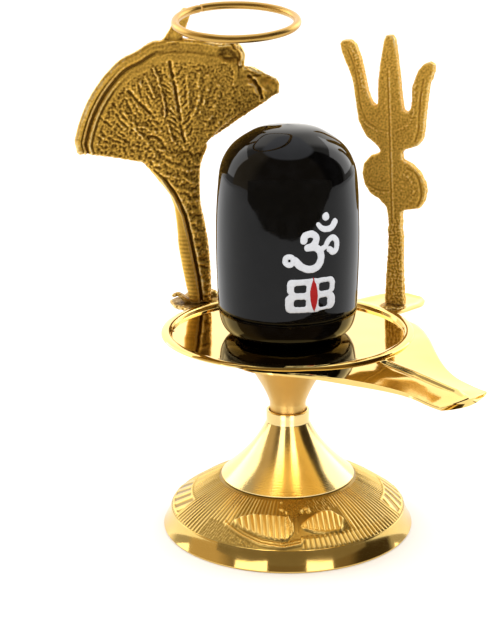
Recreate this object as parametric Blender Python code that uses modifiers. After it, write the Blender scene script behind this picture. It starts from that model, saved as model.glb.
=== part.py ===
# Shiva lingam on a brass stand: a black stone lingam on a yoni tray with a spout, a cobra
# hood that carries a wire ring, a trident with its drum, a flared stem and an embossed foot.
# Metres, +Z up. +X runs along the spout. The pieces are set out about the axis of the
# turned stand, and the whole is then moved so that the origin is the middle of its base.
import math

import bmesh
import bpy
from mathutils import Matrix, Vector

MM = 0.001
FIT_GAP = 0.3 * MM

# Foot: spun sheet brass, open underneath
SHEET = 1.3 * MM
BAND_RADIUS = 35.6 * MM
BAND_FLARE = 2.4 * MM
BAND_CURVE = 1.25
BAND_HEIGHT = 6.0 * MM
BAND_LIP = 0.25 * MM
BAND_SHOULDER = 0.5 * MM
RIM_WIDTH = 2.4 * MM
RIM_EDGE = 0.7 * MM
RIM_CHAMFER = 0.3 * MM
RIM_HEIGHT = 1.0 * MM
SKIRT_HEIGHT = 16.6 * MM
SKIRT_SWELL = 0.8 * MM
SKIRT_HOLE_RADIUS = 17.2 * MM

# Trumpet cone with the collar that takes the stem
CONE_FOOT_RADIUS = 20.2 * MM
COLLAR_RADIUS = 6.5 * MM
COLLAR_TOP = 36.4 * MM
COLLAR_HEIGHT = 3.6 * MM
COLLAR_DEPTH = 2.4 * MM
COLLAR_CHAMFER = 0.2 * MM
CONE_EDGE = 0.5 * MM
CONE_CHAMFER = 0.2 * MM
CONE_STEPS = 7

# Stem
STEM_RADIUS = 5.4 * MM
STEM_HEAD_RADIUS = 17.5 * MM
STEM_STRAIGHT = 4.2 * MM
STEM_CURVE = 1.3

# Tray. The lip's profile is drawn in LIP_PARTS of its width, the spout in SPOUT_PARTS of its
# length from the axis
TRAY_RADIUS = 37.6 * MM
LIP_WIDTH = 3.0 * MM
LIP_HEIGHT = 1.4 * MM
LIP_PARTS = 3.0
FLOOR_RADIUS = TRAY_RADIUS - LIP_WIDTH
FLOOR_TOP = 60.4 * MM
FLOOR_THICKNESS = 1.5 * MM
SPOUT_PARTS = 70.2
SPOUT_LENGTH = 70.2 * MM
SPOUT_START = 10.0 * MM
SPOUT_TIP_HALF_WIDTH = 9.7 * MM
SPOUT_FLARE = 24.6 * MM
SPOUT_DROP = 4.2 * MM
SPOUT_RIDGE = 1.9 * MM
SPOUT_EDGE = 1.0 * MM
SPOUT_INSET = 0.5 * MM
SPOUT_SINK = 0.2 * MM
SPOUT_DIP = 0.8 * MM
SPOUT_RIB = 0.35 * MM
SPOUT_BOW = 1.8 * MM
SPOUT_KEEL = 0.7 * MM
RIM_OVERLAP = 1.75 * MM
RIM_BORE_RADIUS = TRAY_RADIUS - RIM_OVERLAP
RIM_BORE_TURN = math.radians(1.3)
LUG_RISE = 0.8 * MM
LUG_TOP = FLOOR_TOP + LUG_RISE
LUG_THICKNESS = 1.4 * MM
LUG_STRAIGHT = 3.0 * MM
TRIDENT_LUG_RADIUS = 8.7 * MM
TRIDENT_LUG_LENGTH = 19.0 * MM
NAGA_LUG_RADIUS = 7.6 * MM
NAGA_LUG_LENGTH = 14.0 * MM

# Stone. Its profile is drawn in STONE_PARTS of its height
LINGAM_RADIUS = 21.0 * MM
LINGAM_FOOT_RADIUS = 15.0 * MM
LINGAM_HEIGHT = 62.1 * MM
STONE_PARTS = 62.1

# Cobra: its plate stands on the lug behind the tray, turned from the spout and leaning in.
# Its neck and hood are drawn in parts of their own lengths
NAGA_FOOT_OUT = 3.9 * MM
NAGA_FOOT = Vector((-TRAY_RADIUS - NAGA_FOOT_OUT, 2.3 * MM))
NAGA_FACING = math.radians(-35.5)
NAGA_LEAN = math.radians(8.0)
NECK_PARTS = 53.5
NECK_HEIGHT = 53.5 * MM
NECK_SHOULDER = 46.6 * MM
NECK_ROOT = 1.5 * MM
NECK_HALF_WIDTH = 4.4 * MM
NECK_HALF_THICKNESS = 1.9 * MM
HOOD_ROOT = Vector((-6.5 * MM, 44.0 * MM))
HOOD_LEFT = math.radians(167.5)
HOOD_RIGHT = math.radians(41.0)
HOOD_PARTS = 41.0
HOOD_REACH = 41.0 * MM
HOOD_LEFT_REACH = 33.2 * MM
HOOD_THICKNESS = 2.2 * MM
HOOD_CUP = 3.0 * MM
HOOD_BORDER = 1.0 * MM
HOOD_GROOVE = math.radians(91.0)
TANG_RADIUS = 1.5 * MM
TANG_TAPER = 0.75
TANG_TURN = math.atan2(39.2, -6.1)
TANG_SINK = 0.4273 * MM
TANG_BEHIND = 0.2 * MM

# Ring of round wire over the stone
RING_RISE = 89.9 * MM
RING_CENTRE = Vector((-13.85 * MM, -7.3 * MM, LUG_TOP + RING_RISE))
RING_RADIUS = 17.4 * MM
WIRE_RADIUS = 1.03 * MM
RING_TURN = math.radians(46.5)
RING_TILT = math.radians(10.2)
RING_JOINT = math.radians(128.0)
RING_SLIT = math.radians(1.4)
RING_SPREAD = 0.25 * MM
RING_WAVE = 0.15 * MM

# Trident. It is drawn in TRIDENT_PARTS of its height
TRIDENT_FOOT_OUT = 5.6 * MM
TRIDENT_FOOT = Vector((3.75 * MM, TRAY_RADIUS + TRIDENT_FOOT_OUT))
TRIDENT_FACING = math.radians(-63.5)
TRIDENT_SIDE_LEAN = math.radians(-2.6)
TRIDENT_LIFT = 0.12 * MM
TRIDENT_THICKNESS = 3.0 * MM
TRIDENT_LEVELS = {"lance": 0.97, "left_prong": 0.90, "right_prong": 0.93, "crown": 0.86,
                  "drum_left": 0.80, "drum_right": 0.83}
TRIDENT_PARTS = 82.2
TRIDENT_HEIGHT = 82.2 * MM
SPINE_RADIUS = 0.9 * MM
SPINE_SINK = 0.35 * MM

# Length of the plain blocks that trim other pieces
GUIDE_SIZE = 20.0 * MM

# Facets
FOOT_STEPS = 42
STEM_STEPS = 32
TRAY_STEPS = 52
STONE_STEPS = 36
WIRE_STEPS = 42
HOOD_RAYS = 38


def smooth(t):
    """Rises from 0 to 1 with level ends."""
    t = min(max(t, 0.0), 1.0)
    return t * t * (3.0 - 2.0 * t)


def bump(x, centre, width):
    """A rounded hump of height 1 about a place."""
    return math.exp(-((x - centre) / width) ** 2)


def through(stations, per_span):
    """A soft line through a few stations."""
    line = []
    last = len(stations) - 1
    for k in range(last):
        a = Vector(stations[max(k - 1, 0)])
        b = Vector(stations[k])
        c = Vector(stations[k + 1])
        d = Vector(stations[min(k + 2, last)])
        for i in range(per_span):
            t = i / per_span
            line.append(0.5 * (2 * b + (c - a) * t + (2 * a - 5 * b + 4 * c - d) * t ** 2
                               + (3 * b - a - 3 * c + d) * t ** 3))
    line.append(Vector(stations[last]))
    return line


def material(name, colour, roughness, metallic):
    made = bpy.data.materials.new(name)
    made.use_nodes = True
    shader = made.node_tree.nodes["Principled BSDF"]
    shader.inputs["Base Color"].default_value = (*colour, 1.0)
    shader.inputs["Roughness"].default_value = roughness
    shader.inputs["Metallic"].default_value = metallic
    return made


def add(name, mesh, collection, look=None):
    made = bpy.data.objects.new(name, mesh)
    collection.objects.link(made)
    if look:
        mesh.materials.append(look)
    return made


def soften(mesh, degrees=35):
    mesh.shade_smooth()
    mesh.set_sharp_from_angle(angle=math.radians(degrees))


def turned(name, profile, closed, steps, look):
    """A profile of (radius, height) swung about the stand's axis."""
    mesh = bpy.data.meshes.new(name)
    points = [(r, 0.0, z) for r, z in profile]
    edges = [(i, i + 1) for i in range(len(points) - 1)]
    if closed:
        edges.append((len(points) - 1, 0))
    mesh.from_pydata(points, edges, [])
    made = add(name, mesh, stand, look)
    swing = made.modifiers.new("Turn", "SCREW")
    swing.axis = "Z"
    swing.steps = steps
    swing.render_steps = steps
    swing.use_merge_vertices = True
    swing.merge_threshold = 0.00001
    swing.use_smooth_shade = True
    return made


def loft(name, sections, collection, look=None):
    """A closed skin over a row of closed sections with the same number of points."""
    mesh = bpy.data.meshes.new(name)
    build = bmesh.new()
    rings = [[build.verts.new(p) for p in section] for section in sections]
    for one, two in zip(rings, rings[1:]):
        for k in range(len(one)):
            n = (k + 1) % len(one)
            build.faces.new((one[k], one[n], two[n], two[k]))
    build.faces.new(rings[0][::-1])
    build.faces.new(rings[-1])
    bmesh.ops.recalc_face_normals(build, faces=build.faces)
    build.to_mesh(mesh)
    build.free()
    return add(name, mesh, collection, look)


def flat_shape(name, outline, half_thickness, collection):
    """A flat outline in the XZ plane with a thickness along Y, as a mesh."""
    curve = bpy.data.curves.new(name, "CURVE")
    curve.dimensions = "2D"
    curve.fill_mode = "BOTH"
    curve.extrude = half_thickness
    spline = curve.splines.new("POLY")
    spline.points.add(len(outline) - 1)
    for point, place in zip(spline.points, outline):
        point.co = (place[0], place[1], 0.0, 1.0)
    spline.use_cyclic_u = True
    drawn = add(name + "_line", curve, collection)
    return curve_to_mesh(drawn, name, collection, Matrix.Rotation(math.radians(90), 4, "X"))


def curve_to_mesh(drawn, name, collection, turn=Matrix.Identity(4)):
    """Turns a curve object into a closed mesh object."""
    bpy.context.view_layer.update()
    seen = drawn.evaluated_get(bpy.context.evaluated_depsgraph_get())
    mesh = bpy.data.meshes.new_from_object(seen)
    mesh.transform(turn)
    build = bmesh.new()
    build.from_mesh(mesh)
    bmesh.ops.remove_doubles(build, verts=build.verts, dist=0.00001)
    bmesh.ops.recalc_face_normals(build, faces=build.faces)
    build.to_mesh(mesh)
    build.free()
    bpy.data.objects.remove(drawn, do_unlink=True)
    return add(name, mesh, collection)


def combine(target, other, operation):
    """Joins or cuts a piece with a guide shape, which is kept out of the model."""
    other.hide_render = True
    other.display_type = "WIRE"
    step = target.modifiers.new(other.name, "BOOLEAN")
    step.operation = operation
    step.solver = "EXACT"
    step.object = other


# The scene is cleared and its collections made
for old in list(bpy.data.objects):
    bpy.data.objects.remove(old, do_unlink=True)
stand = bpy.data.collections.new("shiva_lingam_stand")
bpy.context.scene.collection.children.link(stand)
cutters = bpy.data.collections.new("cutters")
bpy.context.scene.collection.children.link(cutters)

spun_brass = material("spun_brass", (0.80, 0.56, 0.20), 0.22, 1.0)
polished_brass = material("polished_brass", (0.86, 0.62, 0.24), 0.10, 1.0)
satin_brass = material("satin_brass", (0.70, 0.50, 0.21), 0.38, 1.0)
tray_brass = material("tray_brass", (0.88, 0.66, 0.27), 0.08, 1.0)
black_stone = material("black_stone", (0.006, 0.006, 0.007), 0.08, 0.0)
cast_brass = material("cast_brass", (0.56, 0.37, 0.11), 0.36, 1.0)
wire_brass = material("wire_brass", (0.74, 0.50, 0.16), 0.20, 1.0)
trident_brass = material("trident_brass", (0.66, 0.46, 0.16), 0.40, 1.0)


def skirt_height(radius):
    """The embossed skirt's top, a shallow cone with a slight swell."""
    t = (radius - SKIRT_HOLE_RADIUS) / (BAND_RADIUS - SKIRT_HOLE_RADIUS)
    return SKIRT_HEIGHT - (SKIRT_HEIGHT - BAND_HEIGHT) * t + SKIRT_SWELL * 4.0 * t * (1.0 - t)


def foot_profile():
    """Down the skirt and the flared band, then back up inside the sheet."""
    outer = []
    for k in range(6):
        r = SKIRT_HOLE_RADIUS + (BAND_RADIUS - SKIRT_HOLE_RADIUS) * k / 5
        outer.append((r, skirt_height(r)))
    shoulder = BAND_HEIGHT - BAND_SHOULDER
    outer.append((BAND_RADIUS + BAND_LIP, shoulder))
    for k in range(1, 4):
        t = k / 3
        r = BAND_RADIUS + BAND_LIP + (BAND_FLARE - BAND_LIP) * t ** BAND_CURVE
        outer.append((r, shoulder * (1 - t) + RIM_EDGE * t))
    foot_radius = BAND_RADIUS + BAND_FLARE
    outer.append((foot_radius - RIM_CHAMFER, 0.0))
    inner = [(foot_radius - RIM_WIDTH, 0.0), (foot_radius - RIM_WIDTH, RIM_HEIGHT)]
    inner.append((BAND_RADIUS - SHEET, BAND_HEIGHT - SHEET))
    for k in (3, 0):
        r = SKIRT_HOLE_RADIUS + (BAND_RADIUS - SKIRT_HOLE_RADIUS) * k / 5
        inner.append((r, skirt_height(r) - SHEET))
    return outer + inner


def cone_point(k):
    """A place down the trumpet from the collar, k steps of CONE_STEPS."""
    t = k / CONE_STEPS
    foot = skirt_height(CONE_FOOT_RADIUS) + FIT_GAP + CONE_EDGE
    neck = COLLAR_TOP - COLLAR_HEIGHT
    r = COLLAR_RADIUS + (CONE_FOOT_RADIUS - COLLAR_RADIUS) * (0.55 * t + 0.45 * t ** 2.2)
    return r, neck + (foot - neck) * t


def cone_profile():
    """Collar, trumpet and foot outside, then the recess underneath and the stem's seat."""
    foot = skirt_height(CONE_FOOT_RADIUS) + FIT_GAP
    neck = COLLAR_TOP - COLLAR_HEIGHT
    seat_radius = STEM_RADIUS + FIT_GAP
    outer = [(COLLAR_RADIUS - COLLAR_CHAMFER, COLLAR_TOP)]
    outer.append((COLLAR_RADIUS, COLLAR_TOP - 2.0 * COLLAR_CHAMFER))
    outer += [cone_point(k) for k in range(CONE_STEPS + 1)]
    outer.append((CONE_FOOT_RADIUS - CONE_CHAMFER, foot))
    inside = skirt_height(SKIRT_HOLE_RADIUS) + FIT_GAP
    inner = [(SKIRT_HOLE_RADIUS, inside)]
    for k in (5, 3, 1):
        r, z = cone_point(k)
        inner.append((r - SHEET, z - 0.6 * SHEET))
    inner.append((COLLAR_RADIUS - SHEET, neck - SHEET))
    inner.append((0.0, neck - SHEET))
    seat = [(0.0, COLLAR_TOP - COLLAR_DEPTH), (seat_radius, COLLAR_TOP - COLLAR_DEPTH)]
    seat.append((seat_radius, COLLAR_TOP))
    return seat + outer + inner


def stem_profile():
    """The head under the tray, the flare and the straight end in the collar."""
    top = FLOOR_TOP - FLOOR_THICKNESS - FIT_GAP
    end = COLLAR_TOP - COLLAR_DEPTH + FIT_GAP
    line = [(0.0, top), (STEM_HEAD_RADIUS, top)]
    for k in range(1, 9):
        t = k / 8
        z = top + (end + STEM_STRAIGHT - top) * t
        line.append((STEM_RADIUS + (STEM_HEAD_RADIUS - STEM_RADIUS) * (1.0 - t) ** STEM_CURVE, z))
    line.append((STEM_RADIUS, end))
    line.append((0.0, end))
    return line


def dish_profile():
    """The tray's floor, raised lip, rim and underside."""
    under = FLOOR_TOP - FLOOR_THICKNESS
    top = FLOOR_TOP + LIP_HEIGHT
    part = LIP_WIDTH / LIP_PARTS
    line = [(0.0, FLOOR_TOP), (FLOOR_RADIUS, FLOOR_TOP)]
    line.append((FLOOR_RADIUS + 0.25 * part, top - 0.3 * part))
    line.append((FLOOR_RADIUS + 1.0 * part, top))
    line.append((TRAY_RADIUS - 0.8 * part, top - 0.1 * part))
    line.append((TRAY_RADIUS, top - 0.5 * part))
    line.append((TRAY_RADIUS, top - 0.9 * part))
    line.append((TRAY_RADIUS - 1.0 * part, top - 1.5 * part))
    line.append((FLOOR_RADIUS - 1.5 * part, under + 0.2 * part))
    line.append((FLOOR_RADIUS - 6.0 * part, under))
    line.append((0.0, under))
    return line


def spout_section(s):
    """The spout across its run: a low roof over thin edges, with a narrow rib on top."""
    part = SPOUT_LENGTH / SPOUT_PARTS
    reach = smooth((s - 13.0 * part) / (48.0 * part))
    half = SPOUT_TIP_HALF_WIDTH + 0.015 * (SPOUT_LENGTH - s) + SPOUT_FLARE * (1.0 - reach)
    leave = smooth((s - SPOUT_START) / (12.0 * part))
    chord = math.sqrt(max(TRAY_RADIUS ** 2 - s * s, 0.0)) - SPOUT_INSET
    half = chord + (half - chord) * leave
    thick = SPOUT_EDGE * (0.5 + 0.5 * leave + 0.6 * bump(s, 43.0 * part, 10.0 * part))
    edge = LUG_TOP - SPOUT_SINK - SPOUT_DROP * smooth((s - 30.0 * part) / (40.0 * part))
    rise = SPOUT_RIDGE * smooth((s - 34.0 * part) / (26.0 * part))
    rise -= SPOUT_DIP * smooth((s - 65.5 * part) / (4.7 * part))
    rib = SPOUT_RIB * smooth((s - 33.0 * part) / (6.0 * part))
    bow = SPOUT_BOW * smooth((s - 60.0 * part) / (10.2 * part))
    top = []
    under = []
    for side in (-1.0, -0.62, -0.3, -0.13, 0.0, 0.13, 0.3, 0.62, 1.0):
        y = side * half
        t = abs(y) / half
        x = s - bow * t * t
        ridge = rib if y == 0.0 else 0.0
        top.append((x, y, edge + rise * (1.0 - t) ** 1.1 + ridge))
        under.append((x, y * 0.985, edge - thick - SPOUT_KEEL * (1.0 - t * t)))
    return top + under[::-1]


def lug_outline(radius, length, lobes):
    """A tongue that runs out from under the tray's rim and ends in a half round."""
    start = RIM_BORE_RADIUS
    centre = TRAY_RADIUS + length - radius
    line = [(start, -radius * 1.15), (centre - LUG_STRAIGHT, -radius * 1.04)]
    for k in range(13):
        a = -math.pi / 2 + math.pi * k / 12
        r = radius * (1.0 - lobes * (0.5 + 0.5 * math.cos(6.0 * a)))
        line.append((centre + r * math.cos(a), r * math.sin(a)))
    line.append((centre - LUG_STRAIGHT, radius * 1.04))
    line.append((start, radius * 1.15))
    return line


def lug(name, radius, length, turn, lobes):
    """A flat tongue on the tray's edge on which a figure stands."""
    made = flat_shape(name, lug_outline(radius, length, lobes), LUG_THICKNESS / 2, cutters)
    made.data.transform(Matrix.Rotation(math.radians(-90), 4, "X"))
    made.location = (0.0, 0.0, LUG_TOP - LUG_THICKNESS / 2)
    made.rotation_euler = (0.0, 0.0, turn)
    return made


def stone_profile():
    """A bulging cylinder with a low dome and a rounded foot."""
    foot = FLOOR_TOP + FIT_GAP
    big = LINGAM_RADIUS
    top = foot + LINGAM_HEIGHT
    part = LINGAM_HEIGHT / STONE_PARTS
    stations = [(0.0, top), (0.33 * big, top - 0.8 * part), (0.53 * big, top - 2.4 * part)]
    stations += [(0.77 * big, top - 6.0 * part), (0.915 * big, top - 11.0 * part)]
    stations += [(0.97 * big, top - 18.0 * part), (big, top - 31.0 * part)]
    stations += [(0.99 * big, top - 46.5 * part), (0.965 * big, foot + 6.5 * part)]
    stations += [(0.90 * big, foot + 2.2 * part)]
    stations += [(LINGAM_FOOT_RADIUS + 1.2 * part, foot + 0.25 * part)]
    line = [(p[0], p[1]) for p in through([(*s, 0.0) for s in stations], 2)]
    return [(0.0, top)] + line[1:] + [(LINGAM_FOOT_RADIUS, foot), (0.0, foot)]


def neck_section(v):
    """The cobra's body at a height: an oval with a ridge of belly on its left."""
    part = NECK_HEIGHT / NECK_PARTS
    middle = -0.6 * part - 0.1 * v - 0.0016 * v * v / part
    widen = max(v - 30.0 * part, 0.0) / (10.0 * part)
    half = NECK_HALF_WIDTH + 1.8 * part * widen ** 2
    half *= 0.82 + 0.18 * smooth(v / (9.0 * part))
    sunk = max(v - NECK_SHOULDER, 0.0) / (NECK_HEIGHT - NECK_SHOULDER)
    half *= 1.0 - 0.55 * sunk ** 1.5
    deep = NECK_HALF_THICKNESS * (1.15 - 0.3 * smooth(v / NECK_SHOULDER)) * (1.0 - 0.45 * sunk)
    ring = []
    for k in range(12):
        a = 2.0 * math.pi * k / 12
        side = math.copysign(abs(math.cos(a)) ** 0.7, math.cos(a))
        face = math.copysign(abs(math.sin(a)) ** 0.7, math.sin(a))
        belly = 0.6 * part * bump(side, -0.75, 0.3) if face < -0.1 else 0.0
        ring.append((middle + half * side, deep * face - belly, v))
    return ring


def hood_reach(a):
    """How far the hood's edge is from its root, with the cups of the heads on the right."""
    part = HOOD_REACH / HOOD_PARTS
    if a > math.radians(100.0):
        fall = smooth((a - math.radians(100.0)) / math.radians(68.0))
        flat = 0.5 * part * bump(math.degrees(a), 124.0, 18.0)
        tip = 1.3 * part * smooth((math.degrees(a) - 161.0) / 6.5)
        return HOOD_REACH + (HOOD_LEFT_REACH - HOOD_REACH) * fall ** 0.85 - flat - tip
    degrees = math.degrees(a)
    heads = 1.9 * part * bump(degrees, 65.0, 5.0) - 2.2 * part * bump(degrees, 57.5, 3.6)
    tip = 1.6 * part * smooth((46.0 - degrees) / 5.0)
    return HOOD_REACH - 0.9 * part + heads - tip


def hood_front(a, t):
    """Height of the hood's front over its middle sheet."""
    degrees = math.degrees(a)
    part = HOOD_REACH / HOOD_PARTS
    border = HOOD_BORDER * smooth((t - 0.84) / 0.08)
    if degrees > 100.0:
        border *= 1.3
    groove = 1.0 * part * bump(degrees, math.degrees(HOOD_GROOVE), 4.0) * smooth(t / 0.3)
    groove *= 1.0 - smooth((t - 0.78) / 0.1)
    spine = 0.9 * part * bump(degrees, 105.0, 3.5) * smooth((t - 0.3) / 0.1)
    spine *= 1.0 - smooth((t - 0.74) / 0.08)
    veins = 0.3 * part * math.cos(math.radians(degrees - 104.5) * 24.0) * smooth((t - 0.3) / 0.3)
    veins *= 1.0 - smooth((t - 0.78) / 0.1)
    cup_one = 1.1 * part * bump(degrees, 65.5, 4.0) * bump(t, 0.90, 0.06)
    cup_two = 1.1 * part * bump(degrees, 47.5, 3.6) * bump(t, 0.90, 0.08)
    return HOOD_THICKNESS / 2 + border - groove + spine + veins - cup_one - cup_two


def hood_section(a):
    """The hood along one ray from its root: front from root to edge, then the back."""
    reach = hood_reach(a)
    spread = (a - math.radians(104.5)) / math.radians(64.0)
    front = []
    back = []
    for t in (0.10, 0.24, 0.38, 0.52, 0.66, 0.78, 0.86, 0.93, 1.0):
        low = 16.0 * bump(t, 0.16, 0.16) * smooth((72.0 - math.degrees(a)) / 31.0)
        way = a - math.radians(low)
        u = HOOD_ROOT.x + reach * t * math.cos(way)
        v = HOOD_ROOT.y + reach * t * math.sin(way)
        forward = HOOD_CUP * (spread * t) ** 2
        front.append((u, -forward - hood_front(a, min(t, 0.985)), v))
        back.append((u, -forward + HOOD_THICKNESS / 2, v))
    return front + back[::-1]


def tang(frame):
    """The finger from the hood's top that is brazed to the outside of the ring."""
    edge = hood_reach(TANG_TURN) - TANG_SINK
    start = Vector((HOOD_ROOT.x + edge * math.cos(TANG_TURN), -TANG_BEHIND,
                    HOOD_ROOT.y + edge * math.sin(TANG_TURN)))
    joint = RING_JOINT + math.radians(9.0)
    out = RING_RADIUS + WIRE_RADIUS + TANG_RADIUS * TANG_TAPER + FIT_GAP
    place = Vector((out * math.cos(joint), out * math.sin(joint), 0.0))
    end = frame.inverted() @ (ring_frame() @ place)
    way = end - start
    mesh = bpy.data.meshes.new("tang")
    build = bmesh.new()
    bmesh.ops.create_cone(build, cap_ends=True, segments=10, radius1=TANG_RADIUS * 1.3,
                          radius2=TANG_RADIUS * TANG_TAPER, depth=way.length)
    build.to_mesh(mesh)
    build.free()
    turn = way.to_track_quat("Z", "Y").to_matrix().to_4x4()
    mesh.transform(Matrix.Translation((start + end) / 2) @ turn)
    return add("tang", mesh, cutters)


def ring_frame():
    turn = Matrix.Rotation(RING_TURN, 4, "Z") @ Matrix.Rotation(RING_TILT, 4, "X")
    return Matrix.Translation(RING_CENTRE) @ turn


def plate_turn(facing, lean, side_lean):
    """Turns a plate, drawn in XZ with its front to -Y, to the way it faces."""
    turn = Matrix.Rotation(facing + math.radians(90), 4, "Z")
    return turn @ Matrix.Rotation(side_lean, 4, "Y") @ Matrix.Rotation(lean, 4, "X")


def band(line, half_widths):
    """The outline of a strip of changing width about a line, with a rounded far end."""
    left = []
    right = []
    last = len(line) - 1
    for k, point in enumerate(line):
        way = (line[min(k + 1, last)] - line[max(k - 1, 0)]).normalized()
        side = Vector((-way.y, way.x))
        t = k / last * (len(half_widths) - 1)
        i = min(int(t), len(half_widths) - 2)
        half = half_widths[i] + (half_widths[i + 1] - half_widths[i]) * (t - i)
        left.append(point.xy + side * half)
        right.append(point.xy - side * half)
    tip = point.xy + way.xy * half * 0.55
    end = [tip + side * half * 0.75, tip + way.xy * half * 0.25, tip - side * half * 0.75]
    return left + end + right[::-1]


def oval(x, z, half_width, half_height, count=20):
    """An oval outline."""
    turns = [2.0 * math.pi * k / count for k in range(count)]
    return [(x + half_width * math.cos(a), z + half_height * math.sin(a)) for a in turns]


def trident_shapes():
    """The flat shapes that make up the trident, in its own plane, foot at the origin."""
    part = TRIDENT_HEIGHT / TRIDENT_PARTS
    top = TRIDENT_HEIGHT
    lance = through([(0, 26 * part, 0), (0, 60 * part, 0), (0, 66 * part, 0),
                     (0, 74 * part, 0), (0, top, 0)], 2)
    post = through([(0, 0, 0), (0, 5 * part, 0), (0, 20 * part, 0), (0, 50 * part, 0)], 2)
    left = through([(0, 53.5 * part, 0), (-5.6 * part, 56.5 * part, 0), (-8.6 * part, 63 * part, 0),
                    (-10.2 * part, 71 * part, 0), (-12.8 * part, 79.2 * part, 0)], 3)
    right = through([(0, 53.5 * part, 0), (6.8 * part, 55.3 * part, 0), (8.7 * part, 62 * part, 0),
                     (9.6 * part, 68 * part, 0), (12.6 * part, 72.4 * part, 0)], 3)
    shapes = {"lance": band(lance, [1.9 * part, 2.6 * part, 3.4 * part, 2.9 * part, 1.5 * part])}
    shapes["post"] = band(post, [2.5 * part, 2.9 * part, 1.8 * part, 3.0 * part])
    shapes["left_prong"] = band(left, [3.0 * part, 2.9 * part, 2.2 * part, 2.3 * part, 2.6 * part])
    shapes["right_prong"] = band(right, [3.0 * part, 2.9 * part, 2.4 * part, 2.7 * part, 2.2 * part])
    shapes["crown"] = oval(1.0 * part, 54.9 * part, 9.0 * part, 5.3 * part)
    shapes["drum_left"] = oval(-4.4 * part, 40.2 * part, 4.5 * part, 6.8 * part)
    shapes["drum_right"] = oval(4.9 * part, 37.2 * part, 5.2 * part, 7.4 * part)
    return shapes


def spine():
    """The low ridge down the front of the trident."""
    curve = bpy.data.curves.new("spine", "CURVE")
    curve.dimensions = "3D"
    curve.bevel_depth = SPINE_RADIUS
    curve.bevel_resolution = 1
    curve.use_fill_caps = True
    line = curve.splines.new("POLY")
    part = TRIDENT_HEIGHT / TRIDENT_PARTS
    heights = (4 * part, 30 * part, 55 * part, TRIDENT_HEIGHT - 5 * part)
    line.points.add(len(heights) - 1)
    for point, z in zip(line.points, heights):
        point.co = (0.1 * part, SPINE_SINK - TRIDENT_THICKNESS / 2, z, 1.0)
    return curve_to_mesh(add("spine_line", curve, cutters), "spine", cutters)


turned("foot_skirt", foot_profile(), True, FOOT_STEPS, spun_brass)
turned("trumpet_cone", cone_profile(), False, FOOT_STEPS, polished_brass)
turned("stem", stem_profile(), False, STEM_STEPS, satin_brass)
turned("lingam", stone_profile(), False, STONE_STEPS, black_stone)

# Tray: the turned dish, with the spout and two lugs grown from its rim
tray = turned("tray", dish_profile(), False, TRAY_STEPS, tray_brass)
steps = [SPOUT_START + (SPOUT_LENGTH - SPOUT_START) * k / 17 for k in range(18)]
spout = loft("spout", [spout_section(s) for s in steps], cutters)
bore = bpy.data.meshes.new("dish_clearance")
drum = bmesh.new()
bmesh.ops.create_cone(drum, cap_ends=True, segments=TRAY_STEPS, radius1=RIM_BORE_RADIUS,
                      radius2=RIM_BORE_RADIUS, depth=GUIDE_SIZE)
drum.to_mesh(bore)
drum.free()
clearance = add("dish_clearance", bore, cutters)
clearance.location = (0.0, 0.0, FLOOR_TOP)
clearance.rotation_euler = (0.0, 0.0, RIM_BORE_TURN)
combine(spout, clearance, "DIFFERENCE")
combine(tray, spout, "UNION")
trident_lug = lug("trident_lug", TRIDENT_LUG_RADIUS, TRIDENT_LUG_LENGTH, math.radians(90), 0.0)
combine(tray, trident_lug, "UNION")
naga_lug = lug("naga_lug", NAGA_LUG_RADIUS, NAGA_LUG_LENGTH, math.radians(180), 0.16)
combine(tray, naga_lug, "UNION")

# Cobra: neck, hood and tang in one casting
naga_frame = Matrix.Translation((*NAGA_FOOT, LUG_TOP + FIT_GAP))
naga_frame = naga_frame @ plate_turn(NAGA_FACING, NAGA_LEAN, 0.0)
neck_steps = [-NECK_ROOT] + [NECK_SHOULDER * k / 10 for k in range(11)]
neck_steps += [NECK_SHOULDER + (NECK_HEIGHT - NECK_SHOULDER) * k / 3 for k in (1, 2, 3)]
naga = loft("naga", [neck_section(v) for v in neck_steps], stand, cast_brass)
rays = [HOOD_RIGHT + (HOOD_LEFT - HOOD_RIGHT) * k / HOOD_RAYS for k in range(HOOD_RAYS + 1)]
hood = loft("hood", [hood_section(a) for a in rays], cutters)
finger = tang(naga_frame)
combine(naga, hood, "UNION")
combine(naga, finger, "UNION")
ground = bpy.data.meshes.new("foot_trim")
block = bmesh.new()
bmesh.ops.create_cube(block, size=GUIDE_SIZE)
block.to_mesh(ground)
block.free()
foot_trim = add("foot_trim", ground, cutters)
foot_trim.location = (*NAGA_FOOT, LUG_TOP + FIT_GAP - GUIDE_SIZE / 2)
combine(naga, foot_trim, "DIFFERENCE")
naga.matrix_world = naga_frame
hood.parent = naga
finger.parent = naga

# Ring: one turn of wire, butted at the hood
wire = bpy.data.curves.new("ring", "CURVE")
wire.dimensions = "3D"
wire.bevel_depth = WIRE_RADIUS
wire.bevel_resolution = 2
wire.use_fill_caps = True
turn_of_wire = wire.splines.new("POLY")
turn_of_wire.points.add(WIRE_STEPS)
for k, point in enumerate(turn_of_wire.points):
    share = k / WIRE_STEPS
    a = RING_JOINT + RING_SLIT + (2.0 * math.pi - 2.0 * RING_SLIT) * share
    r = RING_RADIUS + RING_SPREAD * (share - 0.5) + RING_WAVE * math.cos(3.0 * a)
    point.co = (r * math.cos(a), r * math.sin(a), 0.0, 1.0)
ring = curve_to_mesh(add("ring_line", wire, stand), "ring", stand)
ring.data.materials.append(wire_brass)
ring.matrix_world = ring_frame()

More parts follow.
